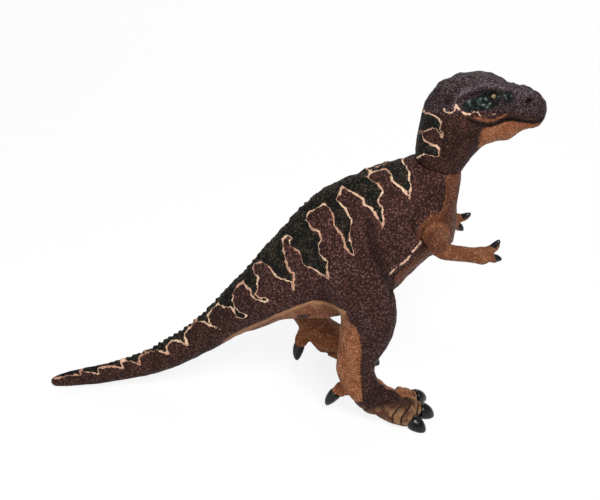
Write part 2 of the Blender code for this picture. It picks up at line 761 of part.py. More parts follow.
def centre_over_origin(items):
    """Move the whole figure so that the middle of its box stands over the origin."""
    bpy.context.view_layer.update()
    corners = [item.matrix_world @ vertex.co for item in items for vertex in item.data.vertices]
    low = Vector([min(corner[axis] for corner in corners) for axis in range(3)])
    high = Vector([max(corner[axis] for corner in corners) for axis in range(3)])
    shift = Vector((-(low.x + high.x) / 2, -(low.y + high.y) / 2, -low.z))
    for item in items:
        item.location += shift
    bpy.context.view_layer.update()
    print("neck axis passes", tuple(round(value, 5) for value in NECK_SEAT + shift))
    print("neck axis runs", tuple(round(value, 5) for value in NECK_AXIS))
    print("right shoulder", tuple(round(value, 5) for value in shoulder_place(-1) + shift))
    print("left shoulder", tuple(round(value, 5) for value in shoulder_place(1) + shift))
    print("tail root moved from the origin by", tuple(round(value, 5) for value in shift))


SKIN = (0.075, 0.030, 0.034)
LEG_SKIN = (0.180, 0.066, 0.035)
PEG_WHITE = (0.60, 0.58, 0.52)
SKIN_ROUGHNESS = 0.6
PEG_ROUGHNESS = 0.4


def build():
    clear_scene()
    pieces = []
    for name, side in (("torso_right_shell", -1), ("torso_left_shell", 1)):
        pieces.append((make_torso_half(name, side), SKIN, SKIN_ROUGHNESS))
    pieces.append((make_tail(), SKIN, SKIN_ROUGHNESS))
    head = make_head()
    set_origin(head, NECK_SEAT)
    pieces.append((head, SKIN, SKIN_ROUGHNESS))
    neck_peg = turned("neck_peg", NECK_SEAT, NECK_AXIS, neck_peg_profile(0.0))
    pieces.append((neck_peg, PEG_WHITE, PEG_ROUGHNESS))
    for word, side, lift in (("right", -1, 0.0), ("left", 1, LEFT_ARM_LIFT)):
        pieces.append((make_leg(word + "_leg", side), LEG_SKIN, SKIN_ROUGHNESS))
        arm = make_arm(word + "_arm", side, lift)
        shoulder = shoulder_place(side)
        peg = turned(word + "_shoulder_peg", shoulder, Y_AXIS * side, shoulder_peg_profile(0.0))
        for item in (arm, peg):
            set_origin(item, shoulder)
        pieces.append((arm, LEG_SKIN, SKIN_ROUGHNESS))
        pieces.append((peg, PEG_WHITE, PEG_ROUGHNESS))
    for item, colour, roughness in pieces:
        finish_piece(item, colour, roughness)
    centre_over_origin([item for item, colour, roughness in pieces])


build()
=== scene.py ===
# %% [markdown]
# # A painted vinyl theropod
# This toy is moulded in soft vinyl, with a pebbled skin, and then painted by hand and with an
# airbrush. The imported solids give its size, its joints and its main forms. Here each solid gets
# a fine skin, glossy claws and eyes, and paint. Everything is measured in millimetres, because
# the pebbles, the stripes and the folds are easiest to judge in them.

# %% Load the solids
import json
import math
from functools import partial

import bpy
import numpy as np
from mathutils import Matrix, Vector, noise

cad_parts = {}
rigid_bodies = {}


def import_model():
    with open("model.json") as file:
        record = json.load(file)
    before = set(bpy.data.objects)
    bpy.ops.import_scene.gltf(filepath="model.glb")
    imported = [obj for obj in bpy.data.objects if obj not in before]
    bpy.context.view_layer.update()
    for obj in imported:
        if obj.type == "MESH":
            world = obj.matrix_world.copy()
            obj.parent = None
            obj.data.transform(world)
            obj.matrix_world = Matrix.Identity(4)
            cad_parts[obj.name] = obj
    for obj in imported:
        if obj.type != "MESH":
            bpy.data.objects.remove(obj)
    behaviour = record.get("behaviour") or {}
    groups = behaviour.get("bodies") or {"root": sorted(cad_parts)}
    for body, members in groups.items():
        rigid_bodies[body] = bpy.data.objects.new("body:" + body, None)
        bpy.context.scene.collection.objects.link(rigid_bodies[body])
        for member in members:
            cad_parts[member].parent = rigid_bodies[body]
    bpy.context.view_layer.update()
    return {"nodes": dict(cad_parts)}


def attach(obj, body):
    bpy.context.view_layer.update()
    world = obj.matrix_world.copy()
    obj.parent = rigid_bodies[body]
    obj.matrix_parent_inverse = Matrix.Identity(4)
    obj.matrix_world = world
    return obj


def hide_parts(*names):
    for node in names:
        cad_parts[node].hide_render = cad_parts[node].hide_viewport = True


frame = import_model()
MM = 0.001
MIDLINE = -2.14
print("solids", sorted(frame["nodes"]))

# %% [markdown]
# ## Camera
# The toy is seen from its right side and from thirty degrees above. The camera is set before
# anything else, so that each piece can be compared with the photograph from the same place.

# %% Camera
bpy.ops.object.camera_add(location=(0.01396, -0.47845, 0.3775), rotation=(math.radians(60), 0, 0))
camera = bpy.context.object
camera.data.lens = 54.5
camera.data.sensor_width = 36
camera.data.clip_start = 0.01
bpy.context.scene.camera = camera
bpy.context.scene.view_settings.view_transform = "Standard"

# %% [markdown]
# ## Skins from the solids
# A mould gives one unbroken skin over the body and the glued-in legs and tail. Copies of those
# solids are joined and remeshed in small cubes, which welds the glue seams shut. Before that
# each copy is swollen by a fifth of a millimetre, so that the seams close, and afterwards the
# skin is drawn in again by as much.

# %% Joining copies of solids
SWELL = 0.2


def merged_copy(node_names, label):
    """One new object with the loose triangles of those solids, welded at their corners."""
    bpy.ops.object.select_all(action="DESELECT")
    for node_name in node_names:
        copy = bpy.data.objects.new(label, frame["nodes"][node_name].data.copy())
        bpy.context.collection.objects.link(copy)
        copy.select_set(True)
        bpy.context.view_layer.objects.active = copy
    if len(node_names) > 1:
        bpy.ops.object.join()
    skin = bpy.context.object
    skin.data.materials.clear()
    bpy.ops.object.mode_set(mode="EDIT")
    bpy.ops.mesh.select_all(action="SELECT")
    bpy.ops.mesh.remove_doubles(threshold=0.002 * MM)
    bpy.ops.object.mode_set(mode="OBJECT")
    return skin


def apply_modifier(skin, kind, **settings):
    """Adds a modifier with its settings and applies it."""
    bpy.context.view_layer.objects.active = skin
    modifier = skin.modifiers.new(kind.lower(), kind)
    for name, value in settings.items():
        setattr(modifier, name, value)
    bpy.ops.object.modifier_apply(modifier=modifier.name)


def add_plug(centre, axis, radius, depth):
    """A short rod that closes a peg hole, so that the skin has no way into the hollow."""
    turn = Vector(axis).to_track_quat("Z", "Y").to_euler()
    bpy.ops.object.select_all(action="DESELECT")
    bpy.ops.mesh.primitive_cylinder_add(
        vertices=24, radius=radius * MM, depth=depth * MM, location=Vector(centre) * MM, rotation=turn
    )
    bpy.ops.object.transform_apply(location=True, rotation=True, scale=True)
    return bpy.context.object


def remesh_skin(skin, voxel, start):
    """Swells, remeshes and shrinks the skin, and keeps only what hangs together with its outermost point."""
    apply_modifier(skin, "DISPLACE", strength=SWELL * MM, mid_level=0.0)
    apply_modifier(skin, "REMESH", mode="VOXEL", voxel_size=voxel * MM)
    points = read_points(skin)
    first = int(np.argmin(np.linalg.norm(points - np.array(start), axis=1)))
    bpy.ops.object.mode_set(mode="EDIT")
    bpy.ops.mesh.select_all(action="DESELECT")
    bpy.ops.object.mode_set(mode="OBJECT")
    skin.data.vertices[first].select = True
    bpy.ops.object.mode_set(mode="EDIT")
    bpy.ops.mesh.select_mode(type="VERT")
    bpy.ops.mesh.select_linked()
    bpy.ops.mesh.select_all(action="INVERT")
    bpy.ops.mesh.delete(type="VERT")
    bpy.ops.object.mode_set(mode="OBJECT")
    apply_modifier(skin, "DISPLACE", strength=-SWELL * MM, mid_level=0.0)
    skin.data.shade_smooth()
    print(skin.name, "has", len(skin.data.polygons), "faces")


# %% [markdown]
# ### Points as numbers
# A sculptor's strokes are written here as sums over all the points of a skin. Points are read
# and written in millimetres, and smoothing moves each one towards the average of its neighbours.

# %% Reading and moving points
def read_points(skin):
    flat = np.empty(len(skin.data.vertices) * 3, np.float32)
    skin.data.vertices.foreach_get("co", flat)
    return flat.reshape(-1, 3).astype(float) / MM


def write_points(skin, points):
    skin.data.vertices.foreach_set("co", (points * MM).astype(np.float32).ravel())
    skin.data.update()


def read_normals(skin):
    flat = np.empty(len(skin.data.vertices) * 3, np.float32)
    skin.data.vertex_normals.foreach_get("vector", flat)
    return flat.reshape(-1, 3).astype(float)


def read_edges(skin):
    flat = np.empty(len(skin.data.edges) * 2, np.int32)
    skin.data.edges.foreach_get("vertices", flat)
    return flat.reshape(-1, 2)


def soft_step(value, low, high):
    """0 below low, 1 above high, and a smooth ramp between."""
    share = np.clip((value - low) / (high - low), 0.0, 1.0)
    return share * share * (3 - 2 * share)


def average_of_neighbours(values, edges):
    count = np.bincount(edges.ravel(), minlength=len(values))
    total = np.zeros_like(values)
    for axis in range(values.shape[1]):
        total[:, axis] += np.bincount(edges[:, 0], values[edges[:, 1], axis], len(values))
        total[:, axis] += np.bincount(edges[:, 1], values[edges[:, 0], axis], len(values))
    return total / np.maximum(count, 1)[:, None]


def fair_skin(points, edges, rounds, weight):
    """Takes the facets out: each round smooths, then swells back almost as much, so limbs keep their girth."""
    for _ in range(rounds):
        for push in (0.5, -0.53):
            points = points + (average_of_neighbours(points, edges) - points) * push * weight[:, None]
    return points


def relax_skin(points, edges, rounds, weight):
    """Plain smoothing where weight is above nothing, for glue seams and hollows."""
    for _ in range(rounds):
        points = points + (average_of_neighbours(points, edges) - points) * 0.6 * weight[:, None]
    return points


def lumps(points, period):
    """Smooth unevenness between -1 and 1 with lumps of about that many millimetres."""
    return np.array([noise.noise(Vector(point)) for point in points / period])


# %% [markdown]
# ## One stencil for folds and paint
# A painter holds a mask against the flank and tips it back a little, so that the back is
# reached too. Every fold and every patch of paint is drawn on that plane: forward and up, in
# millimetres, seen thirty degrees from above. The left side takes the mirror image.

# %% Stencil geometry
TIP = math.radians(30)


def on_stencil(points):
    out = np.abs(points[:, 1] - MIDLINE)
    return np.stack([points[:, 0], points[:, 2] * math.cos(TIP) - out * math.sin(TIP)], 1)


def faces_stencil(points, normals):
    """1 where the skin looks at the stencil, 0 where it looks away."""
    outward = normals[:, 1] * np.where(points[:, 1] < MIDLINE, -1.0, 1.0)
    return soft_step(outward * math.cos(TIP) + normals[:, 2] * math.sin(TIP), 0.02, 0.30)


def line_distance(places, line):
    """Millimetres from each place to a drawn line."""
    nearest = np.full(len(places), 1e6)
    for start, end in zip(line, line[1:]):
        start = np.array(start, float)
        run = np.array(end, float) - start
        share = np.clip((places - start) @ run / max(run @ run, 1e-9), 0.0, 1.0)
        gap = places - start - share[:, None] * run
        nearest = np.minimum(nearest, np.hypot(gap[:, 0], gap[:, 1]))
    return nearest


def patch_distance(places, outline):
    """Millimetres to the edge of a patch, negative inside it."""
    loop = list(outline) + [outline[0]]
    within = np.zeros(len(places), bool)
    for (x0, y0), (x1, y1) in zip(loop, loop[1:]):
        if y0 != y1:
            crosses = (y0 > places[:, 1]) != (y1 > places[:, 1])
            at = x0 + (places[:, 1] - y0) / (y1 - y0) * (x1 - x0)
            within ^= crosses & (places[:, 0] < at)
    return np.where(within, -1.0, 1.0) * line_distance(places, loop)


# %% [markdown]
# ## Body, legs and tail
# The torso halves, the tail and both legs are one skin on the real toy, so they become one
# piece here, with cubes of one millimetre. The peg holes are plugged first. The thigh's front
# edge, the belly fold and the row of small scales along the back are pushed in and out of it.

# %% Body skin
BODY_CUBE, HEAD_CUBE, ARM_CUBE = 1.0, 0.52, 0.5
NECK_SEAT = (93.14, MIDLINE, 160.6)
NECK_AXIS = (0.24192, 0.0, 0.9703)
SHOULDERS = {"right": (90.89, -27.14, 128.54), "left": (90.89, 22.86, 128.54)}
BODY_NODES = ["torso_right_shell", "torso_left_shell", "tail", "right_leg", "left_leg"]

plugs = [add_plug(Vector(NECK_SEAT) - Vector(NECK_AXIS) * 4.2, NECK_AXIS, 10.5, 7.0)]
for side, place in SHOULDERS.items():
    inward = Vector((0, 2.2 if side == "right" else -2.2, 0))
    plugs.append(add_plug(Vector(place) + inward, (0, 1, 0), 5.2, 3.6))
body_skin = merged_copy(BODY_NODES, "body_skin")
for plug in plugs:
    plug.select_set(True)
bpy.context.view_layer.objects.active = body_skin
bpy.ops.object.join()
body_skin = bpy.context.object
remesh_skin(body_skin, BODY_CUBE, (-150, MIDLINE, 3))

# %% [markdown]
# ### Folds of the body
# Vinyl toys copy folds from a clay model. Each fold is a drawn line with a depth and a width,
# and a negative depth raises a ridge or a muscle. First the facets and the glue seams at the
# hips are smoothed out, except at the neck's seat, which has to keep its fit.

# %% Body folds
THIGH_EDGE = [(53.5, 104.6), (53.8, 98.9), (55.6, 91.0), (58.7, 83.1), (61.8, 76.2), (65.0, 69.3), (67.0, 64.6)]
BELLY_FOLD = [(66.5, 73.5), (69.5, 76.6), (73.4, 79.5), (76.5, 82.1), (78.7, 86.0), (82.3, 90.5), (84.7, 93.7)]
ARM_FOLD = [(77.5, 104.0), (79.5, 98.5), (83.5, 94.0), (88.5, 91.0)]


def shifted(line, forward, up):
    return [(x + forward, y + up) for x, y in line]


def near_line(places, line, width):
    """1 on a drawn line, and softly down to 0 at about twice that width from it."""
    return np.exp(-(line_distance(places, line) / width) ** 2)


def press(points, normals, forms, facing):
    """Pushes each drawn line into the skin by its depth, over its width."""
    for line, depth, width in forms:
        points = points - normals * (depth * near_line(on_stencil(points), line, width) * facing)[:, None]
    return points


BODY_FORMS = [
    (THIGH_EDGE, 2.1, 2.6),
    ([(68.0, 108.0), (74.0, 98.0), (76.0, 92.0)], -1.3, 6.0),
    (shifted(THIGH_EDGE, -5.5, -0.5), -1.1, 4.0),
    (shifted(BELLY_FOLD, 0.9, -1.1), 1.3, 1.1),
    (shifted(BELLY_FOLD, -0.8, 1.2), -0.7, 1.4),
    (ARM_FOLD, 1.0, 1.4),
    ([(60.0, 99.0), (66.0, 94.0), (70.0, 88.0)], 0.6, 2.0),
    ([(40.0, 74.0), (34.0, 66.0), (30.0, 58.0)], 0.6, 2.0),
    ([(62.0, 120.0), (68.0, 112.0), (73.0, 103.0)], 0.6, 2.0),
    ([(84.0, 131.0), (90.0, 126.0), (95.0, 119.0)], 0.5, 1.2),
    ([(80.0, 124.0), (87.0, 117.0), (92.0, 110.0)], 0.5, 1.2),
]
GLUE_SEAMS = [((46, -27, 124), 19, 1.0), ((46, 23, 124), 19, 1.0), ((-2, MIDLINE, 84), 18, 0.4)]
SEAM_FADE = 14

edges = read_edges(body_skin)
points = read_points(body_skin)
hips = np.zeros(len(points))
for centre, radius, share in GLUE_SEAMS:
    away = np.linalg.norm(points - np.array(centre), axis=1)
    hips = np.maximum(hips, share * (1 - soft_step(away, radius, radius + SEAM_FADE)))
points = relax_skin(points, edges, 90, hips)
clear_of_seat = soft_step((np.array(NECK_SEAT) - points) @ np.array(NECK_AXIS), 0.6, 2.6)
points = fair_skin(points, edges, 40, clear_of_seat)
write_points(body_skin, points)

normals = read_normals(body_skin)
facing = faces_stencil(points, normals)
torso_only = soft_step(points[:, 2], 52, 62)
points = press(points, normals, BODY_FORMS, facing * torso_only)
print(len(BODY_FORMS), "folds and muscles pressed into", body_skin.name)

# %% [markdown]
# ### Back scales and unevenness
# A row of small scales follows the midline of the back and the tail, with looser knobs beside
# it. Clay is never quite even, so broad and fine lumps swell the whole skin. The groin and the
# tail's root are lifted a little, where the solids are fuller than the toy.

# %% Scales along the back, muscle and small unevenness
SCALE_SPACING = 5.6
across = np.abs(points[:, 1] - MIDLINE)
fade = soft_step(points[:, 0], -135, -70) * (points[:, 2] > 12) * clear_of_seat
on_back = soft_step(normals[:, 2], 0.40, 0.75) * (1 - soft_step(across, 1.6, 4.6)) * fade
run = points[:, 0] * 1.25 + points[:, 2] * 0.55
scales = (0.5 + 0.5 * np.cos(run * math.tau / SCALE_SPACING)) ** 1.5
points = points + normals * (1.15 * on_back * scales)[:, None]
knobs = np.maximum(lumps(points + 70.0, 5.1), 0.0)
points = points + normals * (1.3 * knobs * soft_step(normals[:, 2], 0.15, 0.6) * fade)[:, None]
swell = 0.50 * lumps(points, 13.0) + 0.30 * lumps(points + 40.0, 5.5)
stands = soft_step(points[:, 2], 1.0, 4.0)
points = points + normals * (swell * stands * clear_of_seat)[:, None]
groin = np.exp(-((points[:, 0] - 36) / 11) ** 2) * (1 - soft_step(across, 11, 17))
groin = groin * soft_step(-points[:, 2], -68, -58)
points[:, 2] += 2.6 * groin
tail_root = np.exp(-((points[:, 0] - 4) / 17) ** 2) * soft_step(-normals[:, 2], -0.1, 0.7)
tail_root = tail_root * soft_step(points[:, 2], 50, 56)
points[:, 2] += 2.6 * tail_root * (1 - soft_step(across, 16, 24))
print("scales every", SCALE_SPACING, "mm")

# %% [markdown]
# ### Toe creases
# Broad scutes cover the toes. Creases run across each toe at equal distances from the ball of
# the foot, and the soles stay flat on the floor.

# %% Creases across the toes
TOE_CREASE = 4.6
TOE_CREASE_DEPTH = 0.62
FOOT_BALLS = {"right": (65.1, -32.7), "left": (36.6, 28.4)}
reach = np.full(len(points), 0.0)
for side, ball in FOOT_BALLS.items():
    own = (points[:, 1] < MIDLINE) == (side == "right")
    reach = np.where(own, np.hypot(points[:, 0] - ball[0], points[:, 1] - ball[1]), reach)
on_toe = soft_step(reach, 7, 11) * (1 - soft_step(points[:, 2], 13, 18)) * (points[:, 0] > 25) * stands
crease = np.maximum(np.cos(reach * math.tau / TOE_CREASE), 0.0) ** 2
points = points - normals * (TOE_CREASE_DEPTH * crease * on_toe)[:, None]
points[:, 2] = np.maximum(points[:, 2], 0.0)
write_points(body_skin, points)
print("body skin spans", np.round(points.min(0), 1), np.round(points.max(0), 1))

# %% [markdown]
# ## Head
# The face carries the finest forms, so its cubes are half a millimetre. Brow ridge, eye
# socket, nostril, the line of the closed mouth, the ear and the folds of the throat are pressed
# in, one drawn line after the other.

# %% Head skin
head_skin = merged_copy(["head"], "head_skin")
remesh_skin(head_skin, HEAD_CUBE, (150, MIDLINE, 195))

EYE = (118.0, 171.3)
NOSTRIL = (138.3, 170.0)
EAR = (93.3, 168.7)
BROW = [(98.4, 169.9), (100.4, 171.5), (104.0, 173.5), (110.4, 175.2), (117.4, 176.4), (122.2, 175.4), (126.3, 173.8)]
MOUTH = [
    (104.4, 159.0), (108.0, 157.7), (111.5, 156.8), (114.9, 156.3), (118.6, 156.5), (122.3, 157.9), (125.7, 159.6),
    (130.1, 160.1), (134.5, 159.5), (139.1, 159.2), (143.6, 158.8), (145.8, 159.9), (148.1, 161.6),
]
THROAT_FOLDS = [
    [(101.0, 150.5), (98.0, 146.0), (96.8, 139.0)],
    [(106.0, 150.5), (101.0, 147.0), (99.5, 141.0)],
    [(93.0, 152.0), (92.5, 146.0), (93.5, 140.0)],
    [(88.0, 163.0), (91.0, 158.0), (91.5, 151.0)],
    [(111.0, 151.5), (104.0, 149.5), (100.5, 145.0)],
]

edges = read_edges(head_skin)
points = read_points(head_skin)
places = on_stencil(points)
old_eye = np.exp(-(line_distance(places, [EYE, (EYE[0] + 0.1, EYE[1])]) / 4.0) ** 4)
points = relax_skin(points, edges, 40, old_eye)
seat = soft_step((points - np.array(NECK_SEAT)) @ np.array(NECK_AXIS), 0.6, 2.6)
points = fair_skin(points, edges, 60, seat)
write_points(head_skin, points)
normals = read_normals(head_skin)
facing = faces_stencil(points, normals)


def spot(place):
    """A line so short that it presses a round hollow."""
    return [place, (place[0] + 0.01, place[1])]


FACE_FORMS = [
    (BROW, -1.7, 1.7),
    (shifted(BROW[1:-1], 0.5, -3.3), 1.5, 1.8),
    (spot(EYE), 1.5, 2.8),
    ([(112.0, 168.2), (118.0, 167.4), (122.5, 168.6)], -0.7, 1.0),
    (spot((127.2, 171.5)), 1.0, 3.0),
    ([(126.0, 176.0), (133.0, 174.2), (140.0, 172.4)], -0.7, 1.5),
    (spot((112.0, 180.5)), -0.8, 3.5),
    (spot((92.0, 176.5)), -0.8, 3.2),
    (spot(NOSTRIL), 1.3, 1.1),
    (spot((NOSTRIL[0] - 1.2, NOSTRIL[1] + 1.6)), -0.6, 1.4),
    (spot(EAR), 0.9, 1.3),
    (spot((99.5, 158.5)), -1.0, 6.5),
    ([(108.0, 166.0), (117.0, 163.6), (128.0, 164.5)], -0.45, 2.0),
    (MOUTH, 1.0, 0.62),
    (shifted(MOUTH[2:], 0.0, 1.7), -0.35, 0.9),
    (shifted(MOUTH[3:-2], 0.0, -1.9), -0.3, 1.1),
]
points = press(points, normals, FACE_FORMS, facing)
points = press(points, normals, [(fold, 0.65, 0.9) for fold in THROAT_FOLDS], facing * seat)
write_points(head_skin, points)
normals = read_normals(head_skin)
high = soft_step(normals[:, 2], 0.2, 0.7)
swell = 0.45 * lumps(points, 6.0) * (0.4 + 0.6 * high) + 0.16 * lumps(points + 11.0, 2.2)
swell += 1.3 * np.maximum(lumps(points + 23.0, 3.8) - 0.05, 0.0) * (0.15 + 0.85 * high)
points = points + normals * (swell * seat)[:, None]
write_points(head_skin, points)
print(len(FACE_FORMS) + len(THROAT_FOLDS), "forms pressed into", head_skin.name)

# %% [markdown]
# ## Arms
# The arms are small and thin, and hang on their own pegs. Each gets its own skin, so that it
# can turn.

# %% Arm skins
arm_skins = {}
for side in ("right", "left"):
    skin = merged_copy([side + "_arm"], side + "_arm_skin")
    shoulder = np.array(SHOULDERS[side])
    outer = shoulder + np.array((0, -8 if side == "right" else 8, 0))
    remesh_skin(skin, ARM_CUBE, outer)
    edges = read_edges(skin)
    points = read_points(skin)
    away = np.abs(points[:, 1] - shoulder[1])
    loose = soft_step(away, 1.2, 3.0)
    points = relax_skin(points, edges, 14, loose * 0.6)
    points = points + read_normals(skin) * (0.35 * loose)[:, None]
    write_points(skin, points)
    normals = read_normals(skin)
    swell = 0.30 * lumps(points, 4.0) + 0.15 * lumps(points + 9.0, 1.8)
    points = points + normals * (swell * loose)[:, None]
    write_points(skin, points)
    arm_skins[side] = skin
print("arm skins", sorted(arm_skins))

# %% [markdown]
# ## Claws
# Twelve claws are the glossiest thing on the toy. One claw is drawn out of a ring in six
# steps, each a little smaller and further down, and rounded by subdivision. Then it is copied
# and laid along every toe and finger.

# %% One claw
CLAW_STEPS = [
    (0.18, 0.00, 1.08), (0.22, -0.02, 0.96), (0.22, -0.05, 0.86),
    (0.18, -0.08, 0.76), (0.13, -0.09, 0.62), (0.07, -0.06, 0.42),
]


def make_claw():
    """A claw of length 1 and base radius 1, along X from the origin, which hooks down."""
    bpy.ops.object.select_all(action="DESELECT")
    bpy.ops.mesh.primitive_circle_add(vertices=14, radius=1.0, fill_type="NGON", rotation=(0, math.radians(90), 0))
    bpy.ops.object.transform_apply(location=True, rotation=True, scale=True)
    claw = bpy.context.object
    bpy.ops.object.mode_set(mode="EDIT")
    bpy.ops.mesh.select_all(action="SELECT")
    reach = Vector((0, 0, 0))
    for along, down, shrink in CLAW_STEPS:
        bpy.ops.mesh.extrude_region_move(TRANSFORM_OT_translate={"value": (along, 0, down)})
        reach += Vector((along, 0, down))
        bpy.ops.transform.resize(value=(1, shrink, shrink), center_override=reach)
    bpy.ops.mesh.select_all(action="SELECT")
    bpy.ops.mesh.normals_make_consistent(inside=False)
    bpy.ops.object.mode_set(mode="OBJECT")
    apply_modifier(claw, "SUBSURF", levels=2, render_levels=2)
    claw.data.shade_smooth()
    return claw


# %% [markdown]
# ### All the claws
# Each claw has a base, a tip and a radius. The skin is drawn in under the claws of the feet, so
# that they stand clear of it, and no claw goes below the floor.

# %% Laying the claws
CLAWS = {
    "right_foot_inner_claw": ((86.0, -21.6, 5.1), (95.6, -16.5, 1.3), 4.9),
    "right_foot_middle_claw": ((88.1, -33.5, 4.9), (98.9, -33.9, 1.3), 5.1),
    "right_foot_outer_claw": ((82.4, -43.5, 4.6), (91.6, -49.2, 1.3), 4.9),
    "right_foot_hind_claw": ((37.3, -28.6, 15.2), (29.5, -29.0, 5.6), 3.7),
    "left_foot_inner_claw": ((58.2, 22.2, 5.1), (68.6, 19.2, 1.3), 4.9),
    "left_foot_middle_claw": ((57.8, 33.7, 4.9), (68.3, 36.3, 1.3), 5.1),
    "left_foot_outer_claw": ((50.5, 41.8, 4.6), (58.2, 49.3, 1.3), 4.9),
    "left_foot_hind_claw": ((13.9, 23.4, 14.8), (10.6, 23.0, 1.2), 3.7),
    "right_hand_upper_claw": ((121.6, -33.8, 120.6), (126.8, -33.2, 126.6), 2.2),
    "right_hand_lower_claw": ((121.9, -34.1, 116.0), (128.9, -33.5, 115.1), 2.3),
    "left_hand_upper_claw": ((115.2, 29.5, 107.7), (122.0, 28.9, 110.7), 2.2),
    "left_hand_lower_claw": ((112.9, 29.8, 103.2), (118.5, 29.2, 99.3), 2.3),
}
pattern_claw = make_claw()
claws = {}
for name, (base, tip, radius) in CLAWS.items():
    claw = bpy.data.objects.new(name, pattern_claw.data.copy())
    bpy.context.collection.objects.link(claw)
    base = Vector(base)
    run = Vector(tip) - base
    hooked_up = "hand_upper" in name
    floor_side = Vector((0, 0, 1)) if not hooked_up else Vector((-0.6, 0, 0.8))
    along = run.normalized()
    across = floor_side.cross(along).normalized()
    up = along.cross(across)
    if "hand" in name:
        up = -up if hooked_up else up
        across = -across if hooked_up else across
    turn = Matrix((along, across, up)).transposed().to_4x4()
    size = Matrix.Diagonal((run.length, radius, radius, 1.0))
    claw.data.transform(Matrix.Translation(base) @ turn @ size)
    claw.data.transform(Matrix.Scale(MM, 4))
    claws[name] = claw
bpy.data.objects.remove(pattern_claw)
points = read_points(body_skin)
for name, (base, tip, radius) in CLAWS.items():
    if "foot" in name:
        base, run = np.array(base), np.array(tip) - np.array(base)
        share = (points - base) @ run / (run @ run)
        middle = base + np.clip(share, 0, 1)[:, None] * run
        close = 1 - soft_step(np.linalg.norm(points - middle, axis=1), radius, radius * 1.5)
        close = close * soft_step(share, 0.05, 0.3)
        points = points + (middle - points) * (0.45 * close)[:, None]
write_points(body_skin, points)
for name, claw in claws.items():
    if "foot" in name:
        points = read_points(claw)
        points[:, 2] = np.maximum(points[:, 2], 0.0)
        write_points(claw, points)
print(len(claws), "claws of", len(claws["right_foot_middle_claw"].data.polygons), "faces")

# %% [markdown]
# ## Eyes
# The eyes are small, dull yellow-brown with a dark slit, and varnished. A ball is set into each
# socket, and its cornea is pushed out a little.

# %% Eyeballs
EYE_RADIUS = 1.75
EYES = {"right_eye": (117.9, -12.9, 204.4), "left_eye": (117.9, 8.62, 204.4)}
eyes = {}
for name, centre in EYES.items():
    bpy.ops.object.select_all(action="DESELECT")
    middle = Vector(centre) * MM
    bpy.ops.mesh.primitive_uv_sphere_add(segments=40, ring_count=28, radius=EYE_RADIUS * MM, location=middle)
    bpy.ops.object.transform_apply(location=True, rotation=True, scale=True)
    eye = bpy.context.object
    eye.name = name
    gaze = Vector((0.30, -0.90 if name == "right_eye" else 0.90, 0.32)).normalized()
    points = read_points(eye)
    spokes = (points - np.array(centre)) / EYE_RADIUS
    turned_out = spokes @ np.array(gaze)
    points = points + spokes * (0.22 * soft_step(turned_out, 0.72, 1.0))[:, None]
    write_points(eye, points)
    forward = Vector((1, 0, 0)).cross(gaze).normalized()
    slit = np.abs(spokes @ np.array(gaze.cross(forward).normalized()))
    off_gaze = np.degrees(np.arccos(np.clip(turned_out, -1, 1)))
    for label, values in (("off_gaze", off_gaze), ("off_slit", slit * 60)):
        eye.data.attributes.new(label, "FLOAT", "POINT").data.foreach_set("value", values.astype(np.float32))
    eye.data.shade_smooth()
    eyes[name] = eye
print(len(eyes), "eyes of radius", EYE_RADIUS, "mm")

# %% [markdown]
# ## Paint plan
# The painter works from the outside in: plum over everything, orange on the legs, belly and
# jaw, then a black saddle along the back with cream edges, and a dark mask round the eyes. For
# each coat the skin's points keep how far they are from its edge. The finish below turns that
# distance into a hand-painted edge.

